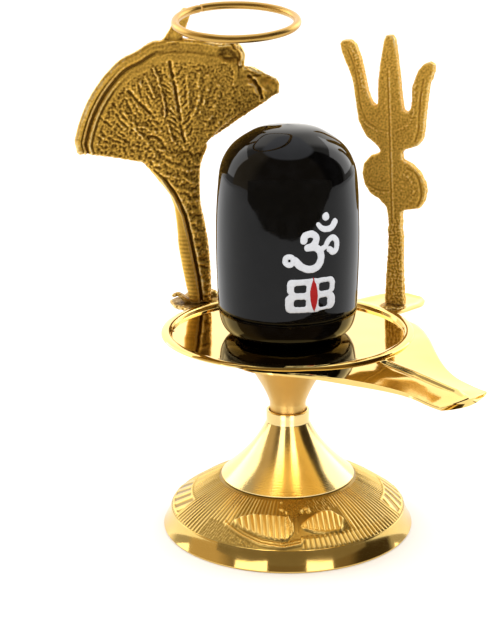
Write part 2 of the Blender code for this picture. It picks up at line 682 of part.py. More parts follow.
# Trident with the drum on its post
shapes = trident_shapes()
trident = flat_shape("trident", shapes.pop("post"), TRIDENT_THICKNESS / 2, stand)
trident.data.materials.append(trident_brass)
for name, outline in shapes.items():
    shape = flat_shape(name, outline, TRIDENT_LEVELS[name] * TRIDENT_THICKNESS / 2, cutters)
    combine(trident, shape, "UNION")
    shape.parent = trident
ridge = spine()
combine(trident, ridge, "UNION")
ridge.parent = trident
trident.matrix_world = Matrix.Translation(
    (*TRIDENT_FOOT, LUG_TOP + FIT_GAP + TRIDENT_LIFT)) @ plate_turn(
    TRIDENT_FACING, 0.0, TRIDENT_SIDE_LEAN)

for piece in (naga, ring, trident, tray):
    soften(piece.data)

# Everything hangs on one empty, which is moved so that the origin is under the middle
axis = bpy.data.objects.new("stand_axis", None)
stand.objects.link(axis)
for piece in list(stand.objects) + list(cutters.objects):
    if piece.parent is None and piece is not axis:
        piece.parent = axis
bpy.context.view_layer.update()
graph = bpy.context.evaluated_depsgraph_get()
corners = []
for piece in stand.objects:
    if piece.type == "MESH":
        seen = piece.evaluated_get(graph)
        shown = seen.to_mesh()
        corners += [seen.matrix_world @ v.co for v in shown.vertices]
        seen.to_mesh_clear()
low = Vector([min(c[i] for c in corners) for i in range(3)])
high = Vector([max(c[i] for c in corners) for i in range(3)])
axis.location = (-(low.x + high.x) / 2, -(low.y + high.y) / 2, 0.0)
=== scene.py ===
import math

import bmesh
import bpy
import numpy as np
from mathutils import Matrix, Vector, noise


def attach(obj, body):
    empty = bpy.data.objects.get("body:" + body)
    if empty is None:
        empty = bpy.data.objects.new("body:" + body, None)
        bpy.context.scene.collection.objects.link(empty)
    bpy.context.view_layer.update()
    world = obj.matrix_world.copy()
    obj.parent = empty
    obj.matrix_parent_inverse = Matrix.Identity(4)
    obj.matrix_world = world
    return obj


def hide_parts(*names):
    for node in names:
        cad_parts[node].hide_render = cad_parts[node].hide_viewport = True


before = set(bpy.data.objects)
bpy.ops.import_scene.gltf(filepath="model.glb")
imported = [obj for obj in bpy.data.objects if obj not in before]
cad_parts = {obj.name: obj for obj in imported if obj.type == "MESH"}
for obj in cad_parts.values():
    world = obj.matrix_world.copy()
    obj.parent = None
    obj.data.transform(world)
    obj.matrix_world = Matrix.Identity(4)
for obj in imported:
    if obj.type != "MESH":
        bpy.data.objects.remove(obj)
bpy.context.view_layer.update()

# Camera and studio. The stand is seen a little from above, with the spout towards the right.
# A white table and bright walls behind and beside it light the brass, and the dark room in
# front gives it brown reflections. Sizes are in millimetres until a mesh is made.
MM = 0.001
AXIS = Vector((-6.91 * MM, -9.353 * MM, 0.0))
CAMERA_TURN = math.radians(46.5)
CAMERA_BACK = 444.5 * MM
CAMERA_HEIGHT = 195.9 * MM
CAMERA_PITCH = math.radians(16.45)
CAMERA_LENS = 88.31
CAMERA_SHIFT = -0.0672

scene = bpy.context.scene
scene.view_settings.view_transform = "Standard"
eye = bpy.data.cameras.new("camera")
eye.sensor_fit = "VERTICAL"
eye.sensor_height = 36.0
eye.lens = CAMERA_LENS
eye.shift_x = CAMERA_SHIFT
camera = bpy.data.objects.new("camera", eye)
scene.collection.objects.link(camera)
to_front = Matrix.Translation(AXIS) @ Matrix.Rotation(CAMERA_TURN, 4, "Z")
aim = Matrix.Rotation(math.radians(90) - CAMERA_PITCH, 4, "X")
camera.matrix_world = to_front @ Matrix.Translation((0.0, -CAMERA_BACK, CAMERA_HEIGHT)) @ aim
scene.camera = camera

world = bpy.data.worlds.new("studio")
world.use_nodes = True
world.node_tree.nodes["Background"].inputs["Color"].default_value = (1.0, 1.0, 1.0, 1.0)
world.node_tree.nodes["Background"].inputs["Strength"].default_value = 1.2
scene.world = world


def put(name, data, place=None):
    made = bpy.data.objects.new(name, data)
    scene.collection.objects.link(made)
    if place is not None:
        made.matrix_world = place
    return made


def mirrored_only(made):
    """Leaves a thing of the studio to be seen in the polished metal alone."""
    made.visible_camera = False
    made.visible_diffuse = False
    made.visible_shadow = False


def new_material(name, colour, roughness, metallic):
    """A material and its shader, with the same values all over."""
    made = bpy.data.materials.new(name)
    made.use_nodes = True
    shader = made.node_tree.nodes["Principled BSDF"]
    shader.inputs["Base Color"].default_value = (*colour, 1.0)
    shader.inputs["Roughness"].default_value = roughness
    shader.inputs["Metallic"].default_value = metallic
    return made, shader


def feed(tree, node, inputs):
    """Feeds a node's inputs with values or with other nodes' outputs."""
    for name, value in inputs.items():
        if isinstance(value, bpy.types.NodeSocket):
            tree.links.new(value, node.inputs[name])
        else:
            node.inputs[name].default_value = value


def add(tree, kind, output, inputs=None, **settings):
    """Adds a node with its settings and its inputs, and gives one of its outputs."""
    made = tree.nodes.new("ShaderNode" + kind)
    for name, value in settings.items():
        setattr(made, name, value)
    feed(tree, made, inputs or {})
    return made.outputs[output]


def maths(tree, operation, *values):
    return add(tree, "Math", "Value", dict(enumerate(values)), operation=operation)


def ramp(tree, value, stops):
    """A colour ramp with the given (position, colour) stops."""
    output = add(tree, "ValToRGB", "Color", {"Fac": value})
    points = output.node.color_ramp.elements
    while len(points) < len(stops):
        points.new(0.5)
    for point, (position, colour) in zip(points, stops):
        point.position = position
        point.color = (*colour, 1.0)
    return output


TABLE_HALF = 3.0
pale, _ = new_material("table_white", (0.95, 0.95, 0.95), 0.6, 0.0)
table = bpy.data.meshes.new("table")
corners = [(x * TABLE_HALF, y * TABLE_HALF, 0.0) for x, y in ((-1, -1), (1, -1), (1, 1), (-1, 1))]
table.from_pydata(corners, [], [(0, 1, 2, 3)])
table.materials.append(pale)
floor = put("table", table)

# The room's walls and ceiling, as the brass sees them round the stand
ROOM_RADIUS = 2.4
ROOM_GLOW = 1.65
WHITE_WALL = (1.0, 0.97, 0.92)
GREY_WALL = (0.30, 0.285, 0.26)
WARM_WALL = (0.36, 0.28, 0.17)
DARK_ROOM = (0.12, 0.092, 0.055)
DARK_CORNER = (0.03, 0.022, 0.012)
CEILING = (0.75, 0.76, 0.80)
NO_LIGHT = (0.0, 0.0, 0.0)
FULL_LIGHT = (1.0, 1.0, 1.0)
room = bpy.data.materials.new("room")
room.use_nodes = True
tree = room.node_tree
tree.nodes.remove(tree.nodes["Principled BSDF"])
way = add(tree, "SeparateXYZ", "X", {"Vector": add(tree, "TexCoord", "Object")}).node.outputs
turn = maths(tree, "ARCTAN2", way["X"], maths(tree, "MULTIPLY", way["Y"], -1.0))
walls = ramp(tree, maths(tree, "MULTIPLY_ADD", turn, 0.5 / math.pi, 0.5), [
    (0.0, WHITE_WALL), (0.13, WHITE_WALL), (0.17, GREY_WALL), (0.215, GREY_WALL), (0.23, WARM_WALL),
    (0.31, WARM_WALL), (0.36, DARK_ROOM), (0.66, DARK_ROOM), (0.69, DARK_CORNER), (0.785, DARK_CORNER),
    (0.80, GREY_WALL), (0.85, GREY_WALL), (0.89, WHITE_WALL), (1.0, WHITE_WALL)])
over = ramp(tree, maths(tree, "DIVIDE", way["Z"], ROOM_RADIUS),
            [(0.0, NO_LIGHT), (0.88, NO_LIGHT), (0.91, FULL_LIGHT)])
inside = add(tree, "Mix", "Result", {"Factor": over, "A": walls, "B": (*CEILING, 1.0)}, data_type="RGBA")
glow = add(tree, "Emission", "Emission", {"Color": inside, "Strength": ROOM_GLOW})
feed(tree, tree.nodes["Material Output"], {"Surface": glow})
dome = bpy.data.meshes.new("room")
build = bmesh.new()
bmesh.ops.create_uvsphere(build, u_segments=96, v_segments=48, radius=ROOM_RADIUS)
bmesh.ops.delete(build, geom=[v for v in build.verts if v.co.z < -0.01], context="VERTS")
build.to_mesh(dome)
build.free()
dome.shade_smooth()
dome.materials.append(room)
walls_round = put("room", dome, to_front)
mirrored_only(walls_round)

# The table ends in front, where the dark room begins
TABLE_EDGE = 0.50
CURTAIN_TOP = 0.26
curtain_dark, _ = new_material("curtain_dark", (0.13, 0.105, 0.065), 1.0, 0.0)
curtain = bpy.data.meshes.new("curtain")
across = [-1.2 + 3.2 * k / 4 for k in range(5)]
points = [(x, -TABLE_EDGE, z) for x in across for z in (0.0, CURTAIN_TOP)]
curtain.from_pydata(points, [], [(k, k + 2, k + 3, k + 1) for k in range(0, 8, 2)])
curtain.materials.append(curtain_dark)
dark_front = put("curtain", curtain, to_front)
mirrored_only(dark_front)


def area_lamp(name, place, wide, tall, power, colour=FULL_LIGHT):
    lamp = bpy.data.lights.new(name, "AREA")
    lamp.shape = "RECTANGLE"
    lamp.size = wide
    lamp.size_y = tall
    lamp.energy = power
    lamp.color = colour
    return put(name, lamp, to_front @ place)


SOFTBOX_SIDE = 0.9
SOFTBOX_AWAY = 1.3
SOFTBOX_AIM = 0.08
SOFTBOX_RISE = math.radians(24.0)
SOFTBOX_POWER = 5.0
for name, turn in (("softbox_left", -118.0), ("softbox_right", 128.0)):
    a = math.radians(turn)
    level = math.cos(SOFTBOX_RISE)
    way = Vector((math.sin(a) * level, -math.cos(a) * level, math.sin(SOFTBOX_RISE)))
    spot = Matrix.Translation(way * SOFTBOX_AWAY + Vector((0.0, 0.0, SOFTBOX_AIM)))
    spot = spot @ way.to_track_quat("Z", "Y").to_matrix().to_4x4()
    area_lamp(name, spot, SOFTBOX_SIDE, SOFTBOX_SIDE, SOFTBOX_POWER)

# Small strip lights below the tray's level show as streaks on the cone and the band. A lamp's
# power is its glow times its area times GLOW_TO_POWER. A strip is its distance and its two ends.
GLOW_TO_POWER = 4.0
STRIP_GLOW = 2.0
STRIP_TURNS = ((-34.0, -13.0), (12.0, 29.0))
BAND_STRIP = (60.0, 12.3, 34.0)
CONE_STRIP = (42.0, 36.0, 57.5)
OVER_STRIP = (33.5, 42.0, 57.5)


def strip_light(name, place, wide, tall):
    """A small lamp, seen in the polished metal alone. Its sizes are in millimetres."""
    power = GLOW_TO_POWER * STRIP_GLOW * wide * MM * tall * MM
    made = area_lamp(name, place, wide * MM, tall * MM, power, WHITE_WALL)
    made.visible_camera = False
    made.visible_diffuse = False


upright = Matrix.Rotation(math.radians(90.0), 4, "X")
for number, (left, right) in enumerate(STRIP_TURNS):
    middle = Matrix.Rotation(math.radians(0.5 * (left + right)), 4, "Z")
    half_turn = math.radians(0.5 * (right - left))
    for kind, (far, low, high) in (("band", BAND_STRIP), ("cone", CONE_STRIP)):
        spot = Matrix.Translation((0.0, -far * math.cos(half_turn) * MM, 0.5 * (low + high) * MM))
        wide = 2.0 * far * math.sin(half_turn)
        strip_light(f"{kind}_strip_{number}", middle @ spot @ upright, wide, high - low)
    near, far, up = OVER_STRIP
    spot = Matrix.Translation((0.0, -0.5 * (near + far) * MM, up * MM))
    strip_light(f"over_strip_{number}", middle @ spot, (near + far) * math.sin(half_turn), far - near)


# Foot: sheet brass spun to a shallow cone and embossed from a die, with a plain polished band
# that flares to the table. The die's pattern is a ground of fine rays, a ribbed fan over a
# crescent, a ribbed leaf with a lip, curls round the neck and two barred panels.
FRONT = -43.5
SKIRT_TOP = 16.6
BAND_TOP = 6.0
BAND_RADIUS = 35.6
FOOT_RADIUS = 38.0
SKIRT_HOLE = 17.2
SKIRT_SWELL = 0.8
SHEET = 1.3
RAYS = 144
RAY_STEPS = 10
# Painted shade on the skirt: the low ground of the pattern keeps this share of the brass colour, and points
# raised this many millimetres or more keep all of it
SHADED_GROUND_TONE = 0.42
UNSHADED_HEIGHT = 0.30
WELD = 0.002 * MM
# Each curl is its middle, its radius, and the turns in degrees where it starts and ends
CURLS = ((1.4, 24.4, 1.9, 20, 190), (7.0, 22.6, 2.1, 10, 150), (5.2, 24.3, 1.2, 150, 400),
         (10.6, 22.5, 1.5, -40, 160), (-1.8, 22.6, 1.2, 60, 300))


def smooth(t):
    t = np.clip(t, 0.0, 1.0)
    return t * t * (3.0 - 2.0 * t)


def hump(x, width):
    return np.exp(-((x / width) ** 2))


def skirt_height(r):
    t = (r - SKIRT_HOLE) / (BAND_RADIUS - SKIRT_HOLE)
    return SKIRT_TOP - (SKIRT_TOP - BAND_TOP) * t + SKIRT_SWELL * 4.0 * t * (1.0 - t)


def lofted(blocks, origin, caps=False):
    """The points, in metres, and faces of tubes, each a block of closed rows in millimetres."""
    points = []
    faces = []
    for block in blocks:
        block = np.asarray(block, dtype=float)
        at = len(points) + np.arange(block.shape[0] * block.shape[1]).reshape(block.shape[:2])
        points += list(map(tuple, block.reshape(-1, 3) * MM + np.array(origin)))
        quads = np.stack([at[:-1], np.roll(at[:-1], -1, 1), np.roll(at[1:], -1, 1), at[1:]], -1)
        faces += list(map(tuple, quads.reshape(-1, 4)))
        if caps:
            faces += [tuple(at[0][::-1]), tuple(at[-1])]
    return points, faces


def turned_outwards(name, points, faces, weld=0.0):
    """A mesh whose faces look outwards, with points nearer than weld, in metres, made one."""
    mesh = bpy.data.meshes.new(name)
    mesh.from_pydata(points, [], faces)
    build = bmesh.new()
    build.from_mesh(mesh)
    if weld:
        bmesh.ops.remove_doubles(build, verts=build.verts, dist=weld)
    bmesh.ops.recalc_face_normals(build, faces=build.faces)
    build.to_mesh(mesh)
    build.free()
    return mesh


def skin(name, rows, material, sharp=35.0, parts=()):
    """A smooth piece over rows of points in millimetres about the stand's axis."""
    mesh = turned_outwards(name, *lofted([rows, *parts], AXIS), weld=WELD)
    mesh.shade_smooth()
    mesh.set_sharp_from_angle(angle=math.radians(sharp))
    mesh.materials.append(material)
    return put(name, mesh)


def read_points(mesh, what):
    """The places, "co", or normals, "normal", of a mesh's points, one row for each."""
    values = np.empty(len(mesh.vertices) * 3)
    mesh.vertices.foreach_get(what, values)
    return values.reshape(-1, 3)


def colour_points(mesh, name, tone):
    """Keeps a tone for each point, which the material reads."""
    colours = np.ones((len(mesh.vertices), 4))
    colours[:, :3] = tone
    layer = mesh.color_attributes.new(name, "FLOAT_COLOR", "POINT")
    layer.data.foreach_set("color", colours.ravel())


def swing(profile, steps):
    """The rows of a turned shape from its (radius, height) profile."""
    turns = np.arange(steps) * (2.0 * math.pi / steps)
    profile = np.asarray(profile, dtype=float)
    r = profile[:, 0][:, None]
    z = np.repeat(profile[:, 1][:, None], steps, 1)
    return np.stack([r * np.cos(turns), r * np.sin(turns), z], -1)


def within(value, low, high, soft):
    return smooth((value - low) / soft) * smooth((high - value) / soft)


def embossing(turn, r):
    """Height of the die's pattern. The turn is in degrees from the front, to the right."""
    p = (turn + 90.0) % 180.0 - 90.0
    q = turn % 180.0 - 90.0
    x = r * np.sin(np.radians(p))
    y = r * np.cos(np.radians(p))
    rays = (0.5 + 0.5 * np.cos(np.radians(turn) * RAYS)) * (0.85 + 0.15 * np.cos(np.radians(turn) * 31.0))

    fan_top = np.interp(p, [-34, -29, -22, -12, 0, 4], [29.6, 27.2, 25.9, 25.6, 25.9, 29.0])
    fan_low = np.interp(p, [-34, -24, -13, -5, 0, 4], [29.8, 31.2, 32.6, 33.3, 33.2, 30.5])
    fan = within(r, fan_top, fan_low, 0.5) * within(p, -34, 3.5, 1.5)
    fan_ribs = np.abs(np.cos(math.pi * (x + 0.10 * (y - 29.0) * x / 8.0) / 1.75)) ** 0.7
    crescent = np.interp(p, [-38, -36, -23.5, -13, -2.2, 6.2, 9],
                         [30.0, 30.7, 32.8, 34.3, 34.9, 34.0, 32.6])
    rim = hump(r - crescent, 0.33) * within(p, -39, 9.5, 3.0)
    rim += 0.5 * hump(r - crescent + 0.95, 0.22) * within(p, -30, 8, 3.0)

    leaf_top = np.interp(p, [7, 12, 17.7, 24, 29.4, 34.6], [29.0, 27.3, 26.0, 25.2, 25.7, 28.6])
    leaf_low = np.interp(p, [7, 14, 19.7, 28.8, 34.6], [29.0, 30.6, 31.2, 31.4, 28.8])
    leaf = within(r, leaf_top, leaf_low, 0.4) * within(p, 6.5, 35, 1.0)
    leaf_ribs = np.abs(np.cos(math.pi * (x - 0.15 * (y - 25.0)) / 1.6)) ** 0.7
    lip = hump(r - leaf_low - 0.25, 0.36) * within(p, 7, 33, 4.0)
    edge = hump(r - leaf_top, 0.22) * within(p, 7, 35.5, 2.0)

    ribs = within(p, 8, 64, 2.0) * smooth((r - 32.5) / 0.5) * (0.5 + 0.5 * np.cos(2.0 * math.pi * p / 2.5))
    dots = np.sin(x * 5.2 + np.sin(y * 3.1)) * np.sin(y * 5.6 + np.sin(x * 2.7))
    stipple = within(p, -50, -12, 5.0) * smooth((r - crescent - 0.3) / 0.4)
    neck = within(p, -8, 36, 5.0) * smooth((25.3 - r) / 0.8)
    curls = 0.0
    for cx, cy, size, start, end in CURLS:
        around = (np.degrees(np.arctan2(y - cy, x - cx)) - start) % 360.0
        curls = curls + hump(np.hypot(x - cx, y - cy) - size, 0.28) * smooth((end - start - around) / 25.0)

    panel = within(np.abs(q), -1, 18.5, 0.8) * within(r, 29.4, 34.9, 0.4)
    frame_line = hump(np.abs(q) - 18.5, 0.6) * within(r, 29.0, 35.2, 0.5)
    frame_line += (hump(r - 29.3, 0.25) + hump(r - 34.9, 0.25)) * smooth((18.5 - np.abs(q)) / 1.0)
    bars = smooth(np.sin(2.0 * math.pi * (q * 0.42 + r * 0.55) / 3.4) * 1.6 + 0.4)

    quiet = np.maximum.reduce([
        np.clip(fan + leaf + panel + stipple + within(p, 8, 64, 2.0) * smooth((r - 32.3) / 0.4), 0, 1),
        within(p, -36, 8, 3.0) * smooth((r - 30.2) / 1.2), neck * 0.95,
        within(p, 6, 36, 1.0) * within(r, 24.5, 32.4, 0.5), 0.55 * within(p, -36, 8, 3.0)])
    height = 0.27 * rays * (1.0 - quiet)
    height = height + fan * (0.14 + 0.36 * fan_ribs) + 0.42 * rim
    height = height + leaf * (0.10 + 0.34 * leaf_ribs) + 0.62 * lip + 0.28 * edge
    height = height + 0.34 * ribs + 0.13 * stipple * dots + neck * (0.10 * dots + 0.38 * curls)
    height = height + 0.30 * panel * bars + 0.30 * np.clip(frame_line, 0, 1)
    return height * smooth((r - 20.6) / 0.6) * smooth((BAND_RADIUS - r) / 0.15)


def clouded(tree, shader, scale, detail, dark, bright):
    """Soft clouds between two colours all over a piece. Gives the place and the clouds."""
    where = add(tree, "TexCoord", "Object")
    clouds = add(tree, "TexNoise", "Fac", {"Vector": where, "Scale": scale, "Detail": detail})
    mixed = {"Factor": clouds, "A": (*dark, 1.0), "B": (*bright, 1.0)}
    feed(tree, shader, {"Base Color": add(tree, "Mix", "Result", mixed, data_type="RGBA")})
    return where, clouds


def gloss(tree, value, low, high, smoothest, roughest):
    """A roughness that follows a value."""
    return add(tree, "MapRange", "Result", {"Value": value, "From Min": low, "From Max": high,
                                            "To Min": smoothest, "To Max": roughest})


def brass(name, colour, roughness, spread, grain, lines=0.0):
    """Bare brass: uneven polish, faint marks of the tool, and slightly darker patches."""
    made, shader = new_material(name, colour, roughness, 1.0)
    tree = made.node_tree
    dark = [c * 0.80 for c in colour]
    where, clouds = clouded(tree, shader, 90.0, 6.0, dark, [min(c * 1.06, 1.0) for c in colour])
    shine = gloss(tree, clouds, 0.3, 0.7, max(roughness - spread, 0.02), roughness + spread)
    fine = add(tree, "TexNoise", "Fac", {"Vector": where, "Scale": 1400.0, "Detail": 4.0})
    relief = add(tree, "Bump", "Normal", {"Strength": grain, "Distance": 0.1 * MM, "Height": fine})
    if lines:
        wave = {"Vector": where, "Scale": 900.0, "Distortion": 1.5, "Detail": 3.0}
        turned = add(tree, "TexWave", "Fac", wave, wave_type="BANDS", bands_direction="Z")
        marks = {"Strength": lines, "Distance": 0.1 * MM, "Height": turned, "Normal": relief}
        relief = add(tree, "Bump", "Normal", marks)
    feed(tree, shader, {"Roughness": shine, "Normal": relief})
    return made


skirt_brass = brass("embossed_brass", (0.74, 0.51, 0.155), 0.30, 0.06, 0.25)
tree = skirt_brass.node_tree
shader = tree.nodes["Principled BSDF"]
# The brass colour is multiplied by the relief tone, painted shade that darkens the low ground of the
# pattern
mixed = {"Factor": 1.0, "A": shader.inputs["Base Color"].links[0].from_socket,
         "B": add(tree, "VertexColor", "Color", layer_name="relief")}
shaded = add(tree, "Mix", "Result", mixed, data_type="RGBA", blend_type="MULTIPLY")
feed(tree, shader, {"Base Color": shaded})
band_brass = brass("polished_band", (0.86, 0.59, 0.18), 0.10, 0.03, 0.05)

turn = np.arange(RAYS * RAY_STEPS) * (360.0 / (RAYS * RAY_STEPS))
radii = np.concatenate([[SKIRT_HOLE, 19.8], np.linspace(20.4, BAND_RADIUS, 56)])
turns, rr = np.meshgrid(turn, radii)
world_turn = np.radians(turns + FRONT)
tops = skirt_height(rr) + embossing(turns, rr)
rows = np.stack([rr * np.cos(world_turn), rr * np.sin(world_turn), tops], -1)
foot = skin("foot_skirt_embossed", rows, skirt_brass, sharp=180.0)
places = (read_points(foot.data, "co") - np.array(AXIS)) / MM
angle = np.degrees(np.arctan2(places[:, 1], places[:, 0])) - FRONT
stands = embossing(angle, np.hypot(places[:, 0], places[:, 1]))
# Painted shade: the lower a point lies in the pattern, the darker and browner its colour
tone = np.clip(SHADED_GROUND_TONE + (1.0 - SHADED_GROUND_TONE) * smooth(stands / UNSHADED_HEIGHT), 0.0, 1.0)
colour_points(foot.data, "relief", tone[:, None] ** np.array([1.0, 1.10, 1.45]))
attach(foot, "root")

edge = []
for k in range(13):
    t = k / 12
    swell = (FOOT_RADIUS - BAND_RADIUS - 0.10) * (0.6 * t + 0.4 * t * t)
    edge.append((BAND_RADIUS + 0.10 + swell, (BAND_TOP - 0.14) * (1 - t) + 0.55 * t))
band_line = [(BAND_RADIUS, BAND_TOP), (BAND_RADIUS + 0.06, BAND_TOP - 0.04), *edge]
band_line += [(FOOT_RADIUS - 0.02, 0.30), (FOOT_RADIUS - 0.12, 0.10), (FOOT_RADIUS - 0.30, 0.0)]
band_line += [(FOOT_RADIUS - 2.4, 0.0), (FOOT_RADIUS - 2.4, 1.0), (BAND_RADIUS - SHEET, BAND_TOP - SHEET)]
for k in range(5, -1, -1):
    r = SKIRT_HOLE + (BAND_RADIUS - SHEET - SKIRT_HOLE) * k / 5
    band_line.append((r, skirt_height(r) - SHEET))
band_line.append((SKIRT_HOLE, SKIRT_TOP))
band = skin("foot_band", swing(band_line, 288), band_brass, sharp=30.0)
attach(band, "root")
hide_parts("foot_skirt")


# Trumpet cone: turned and polished brass over the hole in the foot, with a plain collar whose
# bore takes the stem. Fine tool lines are left near its wide end.
COLLAR_RADIUS = 6.5
COLLAR_TOP = 36.4
COLLAR_HEIGHT = 3.6
COLLAR_DEPTH = 2.4
CONE_FOOT_RADIUS = 20.2
CONE_EDGE = 0.5
FIT_GAP = 0.3
STEM_RADIUS = 5.4

cone_brass = brass("polished_cone", (0.88, 0.65, 0.27), 0.16, 0.04, 0.10, 0.06)
cone_low = skirt_height(CONE_FOOT_RADIUS) + FIT_GAP
cone_neck = COLLAR_TOP - COLLAR_HEIGHT
bore = STEM_RADIUS + FIT_GAP


def flare(t):
    """The cone's radius and height, from its neck at 0 to its foot at 1."""
    r = COLLAR_RADIUS + (CONE_FOOT_RADIUS - COLLAR_RADIUS) * (0.55 * t + 0.45 * t ** 2.2)
    return r, cone_neck + (cone_low + CONE_EDGE - cone_neck) * t


cone_line = [(0.0, COLLAR_TOP - COLLAR_DEPTH), (bore, COLLAR_TOP - COLLAR_DEPTH)]
cone_line += [(bore + out, COLLAR_TOP - down) for out, down in ((0.0, 0.25), (0.12, 0.05), (0.25, 0.0))]
cone_line += [(COLLAR_RADIUS + out, COLLAR_TOP - down)
              for out, down in ((-0.25, 0.0), (-0.06, 0.10), (0.0, 0.35), (0.02, 2.0))]
cone_line.append((COLLAR_RADIUS - 0.02, cone_neck + 0.15))
for t in np.arange(71) / 70:
    r, z = flare(t)
    tool = 0.010 * math.sin(70 * t * 2.2) * smooth((t - 0.70) / 0.1) * smooth((0.98 - t) / 0.03)
    cone_line.append((r, z + tool))
cone_line += [(CONE_FOOT_RADIUS + 0.02, cone_low + 0.2), (CONE_FOOT_RADIUS - 0.2, cone_low)]
cone_line.append((SKIRT_HOLE, SKIRT_TOP + FIT_GAP))
for t in np.arange(5, -1, -1) / 7:
    r, z = flare(t)
    cone_line.append((r - SHEET, z - 0.6 * SHEET))
cone_line.append((0.0, cone_neck - SHEET))
cone = skin("trumpet_cone_turned", swing(cone_line, 192), cone_brass, sharp=28.0)
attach(cone, "root")
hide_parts("trumpet_cone")


# Stem: a separate turned piece, satin all over, with a head that spreads under the tray and a
# straight end that stands in the collar with a dark gap round it.
STEM_HEAD = 17.5
FLOOR_TOP = 60.4
FLOOR_THICK = 1.5

stem_brass = brass("satin_stem", (0.76, 0.50, 0.16), 0.34, 0.05, 0.30, 0.35)
stem_top = FLOOR_TOP - FLOOR_THICK - FIT_GAP
stem_end = COLLAR_TOP - COLLAR_DEPTH + FIT_GAP
stem_line = [(0.0, stem_top), (STEM_HEAD - 0.4, stem_top), (STEM_HEAD, stem_top - 0.12)]
for k in range(1, 49):
    t = k / 48
    r = STEM_RADIUS + (STEM_HEAD - STEM_RADIUS) * (1.0 - t) ** 1.3
    stem_line.append((r + 0.006 * math.sin(k * 2.4), stem_top + (stem_end + 4.2 - stem_top) * t))
stem_line += [(STEM_RADIUS, stem_end + 0.3), (STEM_RADIUS - 0.3, stem_end), (0.0, stem_end)]
stem = skin("stem_turned", swing(stem_line, 160), stem_brass)
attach(stem, "root")
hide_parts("stem")


# Tray: cast and mirror-polished, with a sunk round floor inside a raised lip, a long spout
# with a narrow rib along its middle, and a tongue that carries the trident. The cobra's tongue
# is left rough, and follows as a piece of its own after the cobra.
TRAY_RADIUS = 37.6
LIP_TOP = 61.8
FLOOR_RADIUS = 34.6
LUG_TOP = 61.2
SPOUT_START = 10.0
SPOUT_LENGTH = 70.2
SPOUT_TIP = 9.7
SPOUT_FLARE = 24.6
SPOUT_DROP = 4.2
SPOUT_RIDGE = 1.6
RIM_BORE = 36.1

mirror_brass = brass("mirror_tray", (0.90, 0.64, 0.21), 0.06, 0.025, 0.03)


def wander(rows, size, depth):
    """Moves points up and down a little, as hand polishing does."""
    for row in rows:
        for p in row:
            p[2] += depth * noise.noise(Vector((p[0] / size, p[1] / size, 0.0)))
    return rows


floor_line = [(r, FLOOR_TOP) for r in np.linspace(0.0, FLOOR_RADIUS - 0.35, 36)]
floor_rows = wander(swing(floor_line, 224), 9.0, 0.035)
lip_line = [(FLOOR_RADIUS + out, FLOOR_TOP + up)
            for out, up in ((-0.35, 0.0), (-0.12, -0.12), (0.02, -0.02), (0.10, 0.35))]
lip_line += [(FLOOR_RADIUS + out, LIP_TOP - down)
             for out, down in ((0.22, 0.35), (0.45, 0.12), (0.85, 0.0))]
lip_line += [(TRAY_RADIUS - back, LIP_TOP - down) for back, down in (
    (1.3, 0.02), (0.7, 0.12), (0.22, 0.34), (0.0, 0.70), (0.05, 1.0), (0.5, 1.3), (1.2, 1.6))]
lip_line += [(FLOOR_RADIUS - 1.5, FLOOR_TOP - 1.3), (FLOOR_RADIUS - 6.0, FLOOR_TOP - FLOOR_THICK)]
lip_line.append((0.0, FLOOR_TOP - FLOOR_THICK))


def spout_row(s, sides):
    """One row across the spout: a low roof over thin edges, with the narrow rib on top."""
    reach = smooth((s - 13.0) / 48.0)
    half_width = SPOUT_TIP + 0.015 * (SPOUT_LENGTH - s) + SPOUT_FLARE * (1.0 - reach)
    leave = smooth((s - SPOUT_START) / 12.0)
    chord = math.sqrt(max(TRAY_RADIUS ** 2 - s * s, 0.0)) - 0.5
    half_width = chord + (half_width - chord) * leave
    thick = 0.5 + 0.5 * leave + 0.6 * hump(s - 43.0, 10.0)
    edge_top = LUG_TOP - 0.2 - SPOUT_DROP * smooth((s - 30.0) / 40.0)
    rise = SPOUT_RIDGE * smooth((s - 34.0) / 26.0) - 0.8 * smooth((s - 65.5) / 4.7)
    bow = 1.8 * smooth((s - 60.0) / 10.2)
    rib = 0.55 * smooth((s - 38.2) / 2.0) * smooth((SPOUT_LENGTH - s) / 5.0)
    side_rib = 0.55 * smooth((s - 38.2) / 2.0) * smooth((66.0 - s) / 10.0)
    top = []
    under = []
    for side in sides:
        t = abs(side)
        y = side * half_width
        z = edge_top + rise * (1.0 - t) ** 1.1
        z += rib * smooth((1.45 - abs(y)) / 1.1) - side_rib * hump(y + 1.9, 0.6) * 0.25
        z -= 0.22 * smooth((t - 0.955) / 0.045) ** 2
        top.append((s - bow * t * t, y, z))
        low = edge_top - thick - 0.7 * (1.0 - t * t)
        under.append((s - bow * t * t, y * 0.985, low + 0.18 * smooth((t - 0.94) / 0.06)))
    ring = np.array(top + under[::-1])
    away = np.hypot(ring[:, 0], ring[:, 1])
    out = np.maximum(RIM_BORE / np.maximum(away, 1.0), 1.0)
    ring[:, 0] *= out
    ring[:, 1] *= out
    return ring


near = [k / 24 for k in range(25)]
sides = sorted({round(math.sin(math.pi / 2 * k), 4) * sign for k in near for sign in (-1, 1)}
               | {round(k * 0.02, 4) for k in range(-12, 13)})
spout_steps = [SPOUT_START + (SPOUT_LENGTH - 0.25 - SPOUT_START) * k / 84 for k in range(85)]
spout = [spout_row(s, sides) for s in spout_steps]
tip = spout_row(SPOUT_LENGTH, sides)
middle = tip.mean(axis=0)
spout.append(middle + (tip - middle) * np.array([1.0, 0.995, 0.8]))
spout.append(middle + (tip - middle) * np.array([1.0, 0.5, 0.0]))
spout = wander(np.array(spout), 7.0, 0.07)


